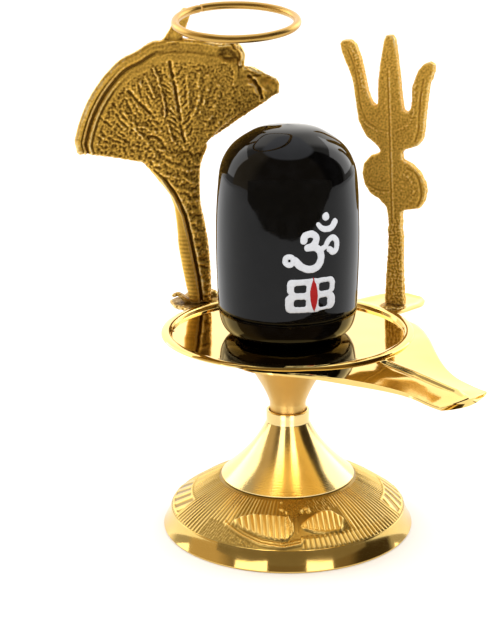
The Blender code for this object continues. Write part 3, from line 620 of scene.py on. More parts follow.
def tongue(radius, reach, turn, dish, belly, lobes):
    """A tongue with a dished top, a rounded edge and a full underside."""
    rows = []
    centre = reach - radius
    for k in range(41):
        share = k / 40
        x = RIM_BORE - 0.6 + (reach - RIM_BORE + 0.6) * math.sin(math.pi / 2 * share)
        if x < centre:
            half_width = radius * (1.04 + 0.11 * (centre - x) / max(centre - RIM_BORE, 1.0))
        else:
            half_width = math.sqrt(max(radius ** 2 - (x - centre) ** 2, 0.0))
            half_width *= 1.04 - 0.04 * (x - centre) / radius
        half_width *= 1.0 - lobes * abs(math.sin(9.0 * share))
        end = smooth((reach - x) / 2.2)
        top = []
        under = []
        for side in np.sin(np.linspace(-math.pi / 2, math.pi / 2, 25)):
            t = abs(side)
            bowl = (1.0 - smooth((t - 0.55) / 0.35)) * end * smooth((x - TRAY_RADIUS) / 2.0)
            edge_round = 0.25 * smooth((max(t, 1.0 - end) - 0.9) / 0.1)
            top.append((x, side * half_width, LUG_TOP - dish * bowl - edge_round))
            low = 0.9 + belly * (1.0 - t ** 4.0) * (0.25 + 0.75 * end)
            under.append((x, side * half_width * 0.99, LUG_TOP - low))
        rows.append(top + under[::-1])
    rows = np.array(rows)
    c = math.cos(turn)
    s = math.sin(turn)
    return wander(rows @ np.array([[c, s, 0.0], [-s, c, 0.0], [0.0, 0.0, 1.0]]), 4.0, 0.08)


trident_tongue = tongue(8.7, 56.6, math.radians(90), 0.45, 1.7, 0.0)
tray = skin("tray_cast", floor_rows, mirror_brass, sharp=32.0,
            parts=(swing(lip_line, 288), spout, trident_tongue))
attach(tray, "root")
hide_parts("tray")


# Stone: a black lingam ground to a bulging cylinder with a low dome and polished. A white sign,
# three white bars and a red leaf are painted on its front in thick enamel.
STONE_RADIUS = 21.0
STONE_FOOT = 15.0
STONE_TOP = 122.8
PAINT_TURN = FRONT + 18.0
PAINT_MIDDLE = 84.0
PAINT_DEPTH = 0.16
PAINT_STEP = 0.14


def through(stations, per_span):
    """A soft line through a few stations."""
    line = []
    last = len(stations) - 1
    for k in range(last):
        nearest = [stations[min(max(j, 0), last)] for j in range(k - 1, k + 3)]
        a, b, c, d = np.array(nearest, dtype=float)
        for i in range(per_span):
            t = i / per_span
            line.append(0.5 * (2 * b + (c - a) * t + (2 * a - 5 * b + 4 * c - d) * t ** 2
                               + (3 * b - a - 3 * c + d) * t ** 3))
    line.append(np.array(stations[last], dtype=float))
    return line


stone_black, stone_shader = new_material("polished_black_stone", (0.001, 0.001, 0.001), 0.05, 0.0)
tree = stone_black.node_tree
where = add(tree, "TexCoord", "Object")
flecks = add(tree, "TexNoise", "Fac", {"Vector": where, "Scale": 260.0, "Detail": 8.0})
shade = ramp(tree, flecks, [(0.45, (0.0008, 0.0008, 0.001)), (0.80, (0.003, 0.003, 0.0034))])
dents = add(tree, "Bump", "Normal", {"Strength": 0.06, "Distance": 0.2 * MM, "Height": flecks})
feed(tree, stone_shader, {"IOR": 1.40, "Specular IOR Level": 0.34, "Base Color": shade, "Normal": dents})

foot_level = FLOOR_TOP + FIT_GAP
stations = [(share * STONE_RADIUS, STONE_TOP - down) for share, down in (
    (0.0, 0.0), (0.33, 0.8), (0.53, 2.4), (0.77, 6.0), (0.915, 11.0), (0.97, 18.0), (1.0, 31.0),
    (0.99, 46.5))]
stations += [(share * STONE_RADIUS, foot_level + up) for share, up in ((0.965, 6.5), (0.90, 2.2))]
stations.append((STONE_FOOT + 1.2, foot_level + 0.25))
stone_line = np.array(through(stations, 9))
stone_line[0] = (0.0, STONE_TOP)
stone_rows = swing(list(map(tuple, stone_line)) + [(STONE_FOOT, foot_level), (0.0, foot_level)], 160)
for row in stone_rows:
    for p in row:
        swell = noise.noise(Vector(p) / 13.0) * 0.10 + noise.noise(Vector(p) / 5.0) * 0.018
        p[0] *= 1.0 + swell / STONE_RADIUS
        p[1] *= 1.0 + swell / STONE_RADIUS
stone = skin("lingam_stone", stone_rows, stone_black, sharp=60.0)
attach(stone, "root")
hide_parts("lingam")


def along(points, x, y, half_widths):
    """Signed distance in millimetres from a brush stroke: under 0 inside."""
    line = np.array(through(points, 6))
    best = np.full(x.shape, 99.0)
    last = len(line) - 1
    for k in range(last):
        a = line[k]
        b = line[k + 1]
        way = b - a
        share = np.clip(((x - a[0]) * way[0] + (y - a[1]) * way[1]) / max(way @ way, 1e-9), 0.0, 1.0)
        away = np.hypot(x - a[0] - share * way[0], y - a[1] - share * way[1])
        half_here = half_widths[0] + (half_widths[1] - half_widths[0]) * (k + share) / last
        best = np.minimum(best, away - half_here)
    return best


def block(x, y, cx, cy, wide, high, corner):
    """Signed distance from a rounded box."""
    dx = np.abs(x - cx) - wide + corner
    dy = np.abs(y - cy) - high + corner
    return np.hypot(np.maximum(dx, 0), np.maximum(dy, 0)) + np.minimum(np.maximum(dx, dy), 0) - corner


def painted(name, x_range, y_range, shape, colour, lift):
    """Enamel laid on the stone where a shape is under 0, in arc and height millimetres."""
    xs = np.arange(*x_range, PAINT_STEP)
    ys = np.arange(*y_range, PAINT_STEP)
    x, y = np.meshgrid(xs, ys)
    wobble = np.array([[0.10 * noise.noise(Vector((a * 0.9, b * 0.9, 3.0))) for a in xs] for b in ys])
    inside = -shape(x, y) + wobble
    thick = lift * smooth((inside + 0.28) / 0.56) + 0.35 * wobble - 0.40 * smooth((0.02 - inside) / 0.3)
    z = PAINT_MIDDLE + y
    order = np.argsort(stone_line[:, 1])
    radius = np.interp(z, stone_line[order, 1], stone_line[order, 0]) + 0.06
    turn = np.radians(PAINT_TURN) + x / STONE_RADIUS
    radius = radius + thick
    points = np.stack([radius * np.cos(turn), radius * np.sin(turn), z], -1)
    keep = inside > -0.45
    count, width = x.shape
    at = np.arange(count * width).reshape(count, width)
    use = keep[:-1, :-1] | keep[1:, :-1] | keep[:-1, 1:] | keep[1:, 1:]
    quads = np.stack([at[:-1, :-1], at[:-1, 1:], at[1:, 1:], at[1:, :-1]], -1)[use]
    mesh = bpy.data.meshes.new(name)
    points = points.reshape(-1, 3) * MM + np.array(AXIS)
    mesh.from_pydata(list(map(tuple, points)), [], list(map(tuple, quads)))
    build = bmesh.new()
    build.from_mesh(mesh)
    loose = [v for v in build.verts if not v.link_faces]
    bmesh.ops.delete(build, geom=loose, context="VERTS")
    build.to_mesh(mesh)
    build.free()
    mesh.shade_smooth()
    enamel, shader = new_material(name + "_enamel", colour, 0.45, 0.0)
    shader.inputs["Specular IOR Level"].default_value = 0.25
    clouded(enamel.node_tree, shader, 700.0, 5.0, [c * 0.78 for c in colour], colour)
    mesh.materials.append(enamel)
    made = put(name, mesh)
    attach(made, "root")
    return made


STROKES = [
    ([(2.2, 13.6), (3.3, 12.5), (4.95, 12.0), (6.65, 12.4), (7.8, 13.7)], (0.62, 0.95)),
    ([(-2.1, 9.2), (-1.75, 10.6), (0.0, 11.1), (1.4, 10.3), (1.5, 8.9), (0.5, 7.75), (-0.9, 7.2)],
     (0.95, 0.9)),
    ([(-0.9, 7.2), (1.3, 7.1), (2.85, 5.6), (2.9, 3.0), (1.5, 1.3), (-0.75, 0.95), (-3.0, 2.0),
      (-4.6, 3.7)], (1.0, 1.0)),
    ([(3.0, 6.4), (4.5, 7.2), (5.4, 8.7), (6.9, 9.4), (8.3, 8.3), (8.35, 6.1), (7.1, 5.2), (5.8, 6.2)],
     (0.72, 0.85))]
# Each block is its middle, its half width and half height, and its corner's radius
BARS = ((-2.75, -4.2, 3.95, 2.25, 1.3), (-3.0, -9.0, 4.25, 2.65, 1.6), (4.5, -4.3, 3.3, 2.4, 1.7),
        (4.6, -8.9, 3.4, 2.4, 1.8), (0.9, -6.8, 1.9, 4.9, 0.6))
BAR_HOLES = ((-3.0, -4.75, 1.85, 1.2, 0.8), (-3.1, -8.9, 1.85, 1.2, 0.8),
             (4.35, -4.5, 1.85, 1.35, 0.8), (3.95, -9.1, 1.55, 1.5, 0.8))


def white_shape(x, y):
    bars = np.minimum.reduce([block(x, y, *sizes) for sizes in BARS])
    holes = [-block(x, y, *sizes) for sizes in BAR_HOLES]
    dot = np.hypot(x - 4.7, y - 15.6) - 1.1
    loop = np.abs(np.hypot(x + 6.2, y - 3.6) - 1.15) - 0.72
    strokes = [along(line, x, y, widths) for line, widths in STROKES]
    return np.minimum.reduce([dot, loop, *strokes, np.maximum.reduce([bars, *holes])])


def red_shape(x, y):
    rise = np.clip(1.0 - ((y + 6.7) / 5.0) ** 2, -1.0, 1.0)
    return np.abs(x - 0.95 + 0.03 * (y + 6.7)) - 1.2 * rise


painted("painted_sign_white", (-9.2, 10.2), (-13.0, 17.6), white_shape, (0.74, 0.75, 0.78), PAINT_DEPTH)
painted("painted_leaf_red", (-1.2, 3.0), (-12.4, -0.6), red_shape, (0.42, 0.003, 0.003), PAINT_DEPTH + 0.14)


# Cobra: neck, spread hood and the finger that holds the ring, sand-cast in one piece and left
# rough. The hood is a thin cupped plate with a raised border, a deep groove, a raised ridge up
# its middle that a painted highlight makes bright, feathered veins, a hollow and a bead where
# the side heads are.
NAGA_FOOT = (-41.5, 2.3)
NAGA_FACING = math.radians(-35.5)
NAGA_LEAN = math.radians(8.0)
HOOD_ROOT = (-6.5, 44.0)
HOOD_LEFT = 167.5
HOOD_RIGHT = 39.4
HOOD_REACH = 41.0
HOOD_LEFT_REACH = 33.2
HOOD_THICK = 2.2
HOOD_BEND = 8.0
HOOD_CUP = 3.0
NECK_TOP = 53.5
NECK_SHOULDER = 46.6
RING_CENTRE = (-13.85, -7.3, 151.1)
RING_RADIUS = 17.4
WIRE_RADIUS = 1.03
RING_TURN = math.radians(46.5)
RING_TILT = math.radians(10.2)
RING_JOINT = math.radians(128.0)
# The colour of the painted highlight laid on the castings' most raised points
PAINTED_GLINT = (1.0, 0.76, 0.34)


def plate_place(foot, facing, lean, side_lean):
    """Where a plate drawn in XZ with its front to -Y stands, in millimetres about the axis."""
    turn = Matrix.Rotation(facing + math.radians(90), 4, "Z")
    turn = turn @ Matrix.Rotation(side_lean, 4, "Y") @ Matrix.Rotation(lean, 4, "X")
    return Matrix.Translation((*foot, LUG_TOP + FIT_GAP)) @ turn


def cast(name, blocks, place, voxel, material):
    """Melts overlapping closed shapes, in millimetres in a plate's own frame, into one casting."""
    mesh = turned_outwards(name, *lofted(blocks, (0.0, 0.0, 0.0), caps=True))
    made = put(name, mesh)
    melt = made.modifiers.new("melt", "REMESH")
    melt.mode = "VOXEL"
    melt.voxel_size = voxel * MM
    ease = made.modifiers.new("ease", "SMOOTH")
    ease.factor = 0.5
    ease.iterations = 7
    bpy.context.view_layer.update()
    melted = bpy.data.meshes.new_from_object(made.evaluated_get(bpy.context.evaluated_depsgraph_get()))
    made.modifiers.clear()
    made.data = melted
    melted.materials.clear()
    melted.materials.append(material)
    spot = Matrix.Translation(AXIS) @ Matrix.Translation(place.translation * MM)
    made.matrix_world = spot @ place.to_3x3().to_4x4()
    return made


def weather(made, depth_of):
    """Moves the casting's skin by depth_of(point, normal), in millimetres, and notes its hollows."""
    mesh = made.data
    count = len(mesh.vertices)
    places = read_points(mesh, "co") / MM
    normals = read_points(mesh, "normal")
    places = places + normals * depth_of(places, normals)[:, None]
    mesh.vertices.foreach_set("co", (places * MM).ravel())
    mesh.update()
    pairs = np.empty(len(mesh.edges) * 2, dtype=np.int64)
    mesh.edges.foreach_get("vertices", pairs)
    pairs = pairs.reshape(-1, 2)
    normals = read_points(mesh, "normal")
    a, b = np.concatenate([pairs, pairs[:, ::-1]]).T
    number = np.maximum(np.bincount(a, minlength=count), 1)
    lean = ((places[b] - places[a]) * normals[a]).sum(1)
    hollow = np.bincount(a, weights=lean, minlength=count) / number
    for _ in range(3):
        hollow = 0.5 * hollow + 0.5 * np.bincount(a, weights=hollow[b], minlength=count) / number
    spread = np.percentile(np.abs(hollow), 90) + 1e-9
    # The tone is 0 on the most raised points and 1 in the deepest hollows; the cast brass paints its
    # highlight where it is lowest
    colour_points(mesh, "hollow", np.clip(0.5 + 0.5 * hollow / spread, 0.0, 1.0)[:, None])
    mesh.shade_smooth()


def cast_brass(name, dark, bright, roughness, grain, metallic):
    """Cast brass: a painted highlight on the most raised points, brass elsewhere, brown in the hollows, and
    grained by the sand.
    """
    made, shader = new_material(name, bright, roughness, metallic)
    tree = made.node_tree
    where = add(tree, "TexCoord", "Object")
    hollow = add(tree, "VertexColor", "Color", layer_name="hollow")
    clouds = add(tree, "TexNoise", "Fac", {"Vector": where, "Scale": 160.0, "Detail": 6.0})
    # From a painted highlight on the most raised points, low on this scale, to brown in the hollows, high
    # on it
    highlight_to_hollow = maths(tree, "MULTIPLY_ADD", clouds, 0.35, hollow)
    sand = {"Vector": where, "Scale": 1500.0, "Detail": 5.0, "Roughness": 0.65}
    height = add(tree, "TexNoise", "Fac", sand)
    relief = {"Strength": grain, "Distance": 0.3 * MM, "Height": height}
    feed(tree, shader, {
        "Base Color": ramp(tree, highlight_to_hollow, [(0.11, PAINTED_GLINT), (0.30, bright), (1.0, dark)]),
        "Roughness": gloss(tree, highlight_to_hollow, 0.15, 1.1, roughness - 0.08, roughness + 0.18),
        "Normal": add(tree, "Bump", "Normal", relief)})
    return made


# The neck's height, and its left and right edges there
NECK_EDGES = np.array([
    (0.0, -4.1, 2.4), (5.0, -5.1, 2.7), (12.0, -6.4, 2.4), (19.0, -7.5, 1.9), (26.0, -7.9, 0.8),
    (32.0, -8.6, -0.5), (36.0, -9.9, -0.7), (39.0, -12.0, -0.8), (42.0, -14.4, -0.7), (45.5, -17.6, -0.4),
    (48.0, -19.5, 0.5), (50.6, -19.0, 1.6), (NECK_TOP, -16.0, 1.0)])


def neck_row(v):
    left = np.interp(v, NECK_EDGES[:, 0], NECK_EDGES[:, 1])
    right = np.interp(v, NECK_EDGES[:, 0], NECK_EDGES[:, 2])
    sunk = max(v - NECK_SHOULDER, 0.0) / (NECK_TOP - NECK_SHOULDER)
    deep = 1.9 * (1.15 - 0.3 * smooth(v / NECK_SHOULDER)) * (1.0 - 0.45 * sunk)
    row = []
    for k in range(48):
        a = 2.0 * math.pi * k / 48
        side = math.copysign(abs(math.cos(a)) ** 0.7, math.cos(a))
        face = math.copysign(abs(math.sin(a)) ** 0.7, math.sin(a))
        row.append(((left + right) / 2 + (right - left) / 2 * side, deep * face, v))
    return row


def hood_reach(degrees):
    if degrees > 100.0:
        fall = smooth((degrees - 100.0) / 68.0)
        flat = 0.5 * hump(degrees - 124.0, 18.0) + 0.9 * hump(degrees - 109.0, 6.0)
        end = 1.3 * smooth((degrees - 161.0) / 6.5)
        return HOOD_REACH - 0.5 + (HOOD_LEFT_REACH - HOOD_REACH + 0.5) * fall ** 0.85 - flat - end
    heads = 1.9 * hump(degrees - 65.5, 4.5) + 0.8 * hump(degrees - 69.5, 3.0)
    heads -= 3.0 * hump(degrees - 59.3, 2.6) + 1.2 * hump(degrees - 55.0, 3.0)
    heads -= 1.1 * hump(degrees - 50.0, 4.0) + 2.0 * smooth((43.6 - degrees) / 4.0)
    return HOOD_REACH - 0.9 + heads


def hood_row(degrees, shares):
    reach = hood_reach(degrees)
    spread = math.radians(degrees - 104.5) / math.radians(64.0)
    bend = smooth((HOOD_RIGHT + 26.0 - degrees) / 26.0)
    front = []
    back = []
    for t in shares:
        way = math.radians(degrees + HOOD_BEND * math.sin(math.pi * t ** 0.85) * bend)
        u = HOOD_ROOT[0] + reach * t * math.cos(way)
        v = HOOD_ROOT[1] + reach * t * math.sin(way)
        middle = -HOOD_CUP * (spread * t) ** 2
        rounded = 0.75 * smooth((t - 0.965) / 0.035) ** 2
        front.append((u, middle - HOOD_THICK / 2 + rounded, v))
        back.append((u, middle + HOOD_THICK / 2 - 0.4 * rounded, v))
    return front + back[::-1]


naga_place = plate_place(NAGA_FOOT, NAGA_FACING, NAGA_LEAN, 0.0)
ring_turn = Matrix.Rotation(RING_TURN, 4, "Z") @ Matrix.Rotation(RING_TILT, 4, "X")
ring_place = Matrix.Translation(RING_CENTRE) @ ring_turn
neck = [neck_row(v) for v in np.linspace(0.0, NECK_TOP, 90)]
shares = np.concatenate([np.linspace(0.10, 0.95, 50), np.linspace(0.955, 1.0, 8)])
hood = [hood_row(a, shares) for a in np.linspace(HOOD_RIGHT, HOOD_LEFT, 220)]
joint = RING_JOINT + math.radians(9.0)
out = RING_RADIUS + WIRE_RADIUS + 1.5 * 0.75 + FIT_GAP
at_wire = ring_place @ Vector((out * math.cos(joint), out * math.sin(joint), 0.0))
finger_end = naga_place.inverted() @ at_wire
finger_start = Vector((-10.8, 0.2, 79.5))
finger_way = finger_end - finger_start
finger_side = Vector((finger_way.z, 0.0, -finger_way.x)).normalized()
finger = []
for k in range(25):
    t = k / 24
    wide = 3.0 - 1.45 * t - 0.45 * max(t - 0.90, 0.0) / 0.10
    deep = 0.85 + 0.75 * smooth(t / 0.5) - 0.35 * max(t - 0.90, 0.0) / 0.10
    centre = finger_start + finger_way * t
    finger.append([tuple(centre + finger_side * wide * math.cos(a) + Vector((0.0, deep * math.sin(a), 0.0)))
                   for a in np.arange(16) * math.pi / 8])


def speckle(places, size, shift=0.0):
    return np.array([noise.noise(Vector(p) / size + Vector((shift, 0.0, 0.0))) for p in places])


def stroke(u, v, line, width):
    """A rounded line on the face, 1 on its middle and fading over its width."""
    return hump(np.maximum(along(line, u, v, (0.0, 0.0)), 0.0), width)


def at_height(line, v):
    """The place along a line at a height."""
    line = sorted(line, key=lambda p: p[1])
    return np.interp(v, [p[1] for p in line], [p[0] for p in line])


RIDGE = [(-14.4, 75.6), (-13.5, 72.9), (-12.6, 70.2), (-11.9, 66.9), (-11.3, 63.6), (-11.4, 60.9)]
LOW_RIDGE = [(-10.4, 58.1), (-9.2, 54.0), (-8.2, 52.3)]
GROOVE = [(-9.7, 77.3), (-9.3, 74.5), (-8.1, 69.5), (-7.5, 64.8), (-6.8, 60.1), (-5.9, 54.6), (-5.3, 52.6)]
raised = [
    (RIDGE, 0.34, 0.85), (LOW_RIDGE, 0.35, 0.60),
    ([(-18.6, 71.7), (-16.8, 68.3), (-15.2, 65.7)], 0.45, 0.30),
    ([(-17.0, 73.0), (-15.4, 69.7), (-14.2, 67.0)], 0.40, 0.30),
    ([(-21.4, 60.4), (-20.2, 57.0), (-18.3, 55.0), (-16.1, 51.5), (-13.9, 47.6)], 0.70, 0.42),
    ([(-18.9, 57.7), (-17.0, 57.5), (-14.7, 56.2), (-12.5, 56.3)], 0.40, 0.35),
    ([(-13.8, 50.8), (-10.6, 50.0), (-8.6, 50.3)], 0.45, 0.40),
    ([(-0.9, 74.0), (-1.3, 70.0), (-0.9, 66.7), (-2.9, 60.7)], 0.75, 0.32),
    ([(4.9, 69.9), (3.6, 63.2), (1.0, 58.2)], 0.80, 0.30),
    ([(9.8, 63.8), (5.9, 59.8), (1.0, 54.8)], 0.80, 0.30),
    ([(-4.6, 73.0), (-4.4, 69.0), (-4.3, 64.0)], 0.60, 0.28),
    ([(1.8, 73.5), (1.2, 67.5), (-0.8, 61.5)], 0.60, 0.22),
    ([(-23.6, 63.5), (-22.4, 60.5), (-21.5, 58.0)], 0.9, 0.22),
    ([(8.9, 83.1), (10.4, 81.9), (11.5, 80.0), (11.5, 77.9), (11.0, 76.6)], 0.50, 1.00),
    ([(13.9, 75.3), (16.4, 74.3), (19.1, 73.6), (21.6, 72.1)], 0.42, 0.55),
    ([(13.7, 71.0), (15.2, 70.0), (15.9, 68.0), (17.0, 65.7)], 0.80, 0.40),
    ([(-0.6, 83.6), (1.6, 83.9), (4.0, 84.0)], 0.36, 0.95),
]
sunk = [
    (GROOVE, 0.42, 0.80),
    ([(-21.9, 68.8), (-18.8, 65.1), (-15.6, 62.0)], 0.50, 0.45),
    ([(-17.3, 54.9), (-14.1, 54.3), (-12.2, 52.8), (-11.8, 51.0)], 0.40, 0.40),
    ([(-16.4, 59.6), (-14.4, 59.4), (-12.9, 58.4)], 0.35, 0.30),
    ([(-12.4, 74.6), (-11.5, 71.5), (-10.6, 68.0)], 0.30, 0.22),
    ([(13.7, 73.0), (14.9, 72.2), (16.1, 70.8), (17.1, 68.4), (17.6, 66.6)], 0.48, 0.85),
    ([(15.0, 73.2), (17.5, 73.4), (20.0, 72.5)], 0.35, 0.40),
    ([(6.4, 82.4), (8.3, 82.6), (9.8, 81.2)], 0.35, 0.30),
]
for k in range(11):
    v = 74.6 - 1.9 * k + 0.35 * math.sin(5.0 * k)
    left = at_height(RIDGE, v) + 0.9
    right = at_height(GROOVE, v - 3.0) - 0.5
    sunk.append(([(left, v), (0.45 * left + 0.55 * right, v - 1.2), (right, v - 3.2)], 0.24, 0.22))
    side = at_height(GROOVE, v - 1.5) + 0.5
    far = side + 2.4 + 0.4 * math.sin(3.0 * k)
    sunk.append(([(side, v - 1.5), (side + 1.4, v - 0.4), (far, v + 1.2)], 0.26, 0.18))
for k in range(13):
    a = math.radians(113.0 + 3.6 * k)
    far = 27.0 + 2.5 * math.sin(2.3 * k)
    close = 17.0 + 3.0 * math.sin(1.7 * k + 1.0)
    ends = [(HOOD_ROOT[0] + r * math.cos(a + c), HOOD_ROOT[1] + r * math.sin(a + c))
            for r, c in ((close, 0.0), ((close + far) / 2, 0.02), (far, -0.02))]
    sunk.append((ends, 0.36, 0.20))


def naga_depth(places, normals):
    """The casting's relief, from the place in the plate and the way the skin faces."""
    u = places[:, 0]
    v = places[:, 2]
    front = smooth((-normals[:, 1] - 0.15) / 0.5)
    du = u - HOOD_ROOT[0]
    dv = v - HOOD_ROOT[1]
    degrees = np.degrees(np.arctan2(dv, du))
    ways = np.linspace(HOOD_RIGHT - 10, HOOD_LEFT + 10, 300)
    reaches = [hood_reach(min(max(a, HOOD_RIGHT), HOOD_LEFT)) for a in ways]
    rim = np.interp(degrees, ways, reaches) - np.hypot(du, dv)
    on_hood = smooth((v - 47.0) / 4.0) * smooth((np.hypot(du, dv) - 6.0) / 3.0)
    coarse = speckle(places, 2.6)
    middle = speckle(places, 1.15, 7.0)
    fine = speckle(places, 0.6, 3.0)
    bent_u = u + 0.22 * middle + 0.20 * coarse
    bent_v = v + 0.20 * speckle(places, 1.3, 11.0)

    left_edge = smooth((degrees - 95.0) / 14.0)
    low_left = smooth((degrees - 112.0) / 30.0)
    flange = left_edge * (0.42 * smooth((3.2 - rim) / 1.0) + 0.20 * hump(rim - 0.5, 0.5))
    flange -= left_edge * (0.10 + 0.40 * low_left) * hump(rim - 3.3, 0.32)
    flange -= 0.28 * low_left * hump(rim - 1.9, 0.20)
    flange += 0.22 * low_left * hump(rim - 4.4, 0.30) - 0.18 * low_left * hump(rim - 5.2, 0.25)
    flange += (1.0 - left_edge) * 0.35 * hump(rim - 0.5, 0.55)
    arc = 0.18 * smooth((7.4 - rim) / 1.2) * smooth((rim - 3.4) / 1.0)
    drawn = np.zeros(u.shape)
    for line, width, high in raised:
        drawn = np.maximum(drawn, high * stroke(bent_u, bent_v, line, width))
    for line, width, deep in sunk:
        drawn = drawn - deep * stroke(bent_u, bent_v, line, width)
    drawn = drawn * np.clip(0.75 + 1.1 * speckle(places, 1.7, 21.0), 0.25, 1.3)
    cup = -0.70 * smooth((1.2 - np.hypot((u - 7.6 + 0.3 * (v - 79.5)) / 3.2, (v - 79.6) / 2.4)) / 0.8)
    bead = 0.75 * smooth((1.0 - np.hypot((u - 19.4) / 2.9, (v - 69.9) / 2.9)) / 0.7)
    hood_part = flange + arc + drawn + cup + bead

    band_heights = (0.0, 3.6, 8.5, 15.5, 22.3, 29.1, 35.2, 41.3, 47.0)
    band_edge = np.interp(v, band_heights, (-0.9, -1.2, -1.8, -3.1, -4.3, -5.8, -8.3, -12.0, -18.0))
    on_band = smooth((band_edge - u) / 0.5) * smooth((46.0 - v) / 6.0)
    scales = 0.030 * np.cos(v * 4.6) * smooth((26.0 - v) / 6.0)
    strip = smooth((u - band_edge - 0.4) / 0.6) * (1.0 - on_hood)
    gash = -0.95 * hump(u - band_edge - 0.45, 0.42) * smooth((44.0 - v) / 8.0)
    ribs = 0.12 * np.cos(v * 1.9 + 2.6 * coarse + 0.5 * u) * strip
    neck_part = on_band * (0.55 + scales) + ribs + gash
    smoother = 1.0 - 0.9 * on_band * front - 0.6 * smooth((7.0 - rim) / 1.0) * on_hood * front
    lower_left = smooth((degrees - 118.0) / 10.0) * smooth((12.0 - np.abs(rim - 14.0)) / 4.0)
    grain = 0.12 * coarse + (0.05 + 0.12 * lower_left + 0.12 * strip) * middle + 0.15 * fine
    depth = front * (on_hood * hood_part + (1.0 - on_hood) * neck_part) + smoother * grain
    return np.clip(depth, -0.95, 2.0)


naga_metal = cast_brass("rough_cast_brass", (0.16, 0.08, 0.009), (0.88, 0.51, 0.08), 0.36, 0.60, 0.88)
naga = cast("naga_cast", [neck, hood, finger], naga_place, 0.27, naga_metal)
weather(naga, naga_depth)
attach(naga, "root")
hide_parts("naga")


# Rough parts of the tray's casting: the thick leaf under the cobra, with lumps round the neck's
# foot and one petal that curls up at the left, and two low lumps at the trident's foot. They are
# as cast, and dull beside the polished tray.
def lump(centre, size, lean, turn):
    """A rounded lump: its middle, three half sizes, and how its +X end is raised and turned."""
    place = Matrix.Rotation(turn, 3, "Z") @ Matrix.Rotation(-lean, 3, "Y")
    rows = []
    for k in range(1, 14):
        a = math.pi * k / 14
        ring = [(math.cos(a), math.sin(a) * math.cos(b), math.sin(a) * math.sin(b))
                for b in np.arange(20) * math.pi / 10]
        rows.append([tuple(Vector(centre) + place @ Vector(np.array(size) * p)) for p in ring])
    return rows


def leaf_depth(places, normals):
    return sum(deep * speckle(places, size, shift)
               for deep, size, shift in ((0.24, 1.9, 2.0), (0.16, 0.9, 5.0), (0.10, 0.5, 8.0)))


TO_THE_LEFT = math.radians(46.5 + 180.0)
petals = [
    lump((-44.9, -2.2, LUG_TOP + 0.9), (3.6, 2.4, 0.75), math.radians(38), TO_THE_LEFT),
    lump((-46.9, -4.3, LUG_TOP + 2.2), (1.5, 1.5, 0.60), math.radians(-20), TO_THE_LEFT),
    lump((-43.6, 0.4, LUG_TOP - 0.5), (4.0, 3.2, 1.3), 0.0, TO_THE_LEFT),
    lump((-42.0, 6.2, LUG_TOP + 1.1), (2.3, 1.9, 1.9), 0.0, 0.4),
    lump((-38.6, 4.6, LUG_TOP - 0.2), (2.4, 2.6, 1.2), 0.0, 0.9),
    lump((-46.8, 3.0, LUG_TOP - 0.3), (3.6, 3.0, 1.2), math.radians(12), math.radians(170)),
    lump((3.6, 42.0, LUG_TOP - 0.4), (4.4, 4.6, 1.1), 0.0, math.radians(20)),
    lump((4.6, 38.4, LUG_TOP + 0.1), (2.4, 2.2, 1.1), 0.0, math.radians(60))]
leaf_metal = cast_brass("rough_leaf_brass", (0.11, 0.055, 0.006), (0.48, 0.28, 0.045), 0.36, 0.60, 0.86)
leaf_pad = tongue(7.4, 51.2, math.radians(180), 0.25, 1.3, 0.12)
leaf = cast("tray_leaf", [leaf_pad, *petals], Matrix.Identity(4), 0.28, leaf_metal)
weather(leaf, leaf_depth)
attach(leaf, "root")


# Ring: one turn of round brass wire bent by hand, with its two cut ends butted at the hood. The
# cobra's finger holds it over the stone, tipped a little to the front.
ring_brass = brass("drawn_wire", (0.60, 0.36, 0.09), 0.30, 0.05, 0.30)
RING_SLIT = math.radians(1.4)
ends = [(0.0, size) for size in (0.0, 0.75, 0.96)]
steps = ends + [(k / 240, 1.0) for k in range(1, 240)] + [(1.0, size) for _, size in ends[::-1]]
ring_rows = []
for share, size in steps:
    a = RING_JOINT + RING_SLIT + (2.0 * math.pi - 2.0 * RING_SLIT) * share
    r = RING_RADIUS + 0.25 * (share - 0.5) + 0.15 * math.cos(3.0 * a)
    r += 0.05 * noise.noise(Vector((share * 20, 0, 0)))
    lift = 0.06 * noise.noise(Vector((share * 14, 5, 0)))
    wire = (WIRE_RADIUS + 0.12) * size
    way = Vector((math.cos(a), math.sin(a), 0.0))
    centre = way * r + Vector((0.0, 0.0, lift))
    rim = [way * wire * math.cos(b) + Vector((0, 0, wire * math.sin(b)))
           for b in np.arange(20) * math.pi / 10]
    ring_rows.append([tuple(ring_place @ (centre + p)) for p in rim])
ring = skin("ring_wire", ring_rows, ring_brass, sharp=50.0)
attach(ring, "root")
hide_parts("ring")


# Trident: cast flat in sand with the drum on its post. Its face is granular, with a thin rib up
# the middle, arcs that run from the prongs into the crown and arcs in the drum's lobes.
TRIDENT_FOOT = (3.75, 43.2)
TRIDENT_FACING = math.radians(-63.5)
TRIDENT_SIDE_LEAN = math.radians(-2.6)
TRIDENT_THICK = 3.0
TRIDENT_SOLDER = 0.12

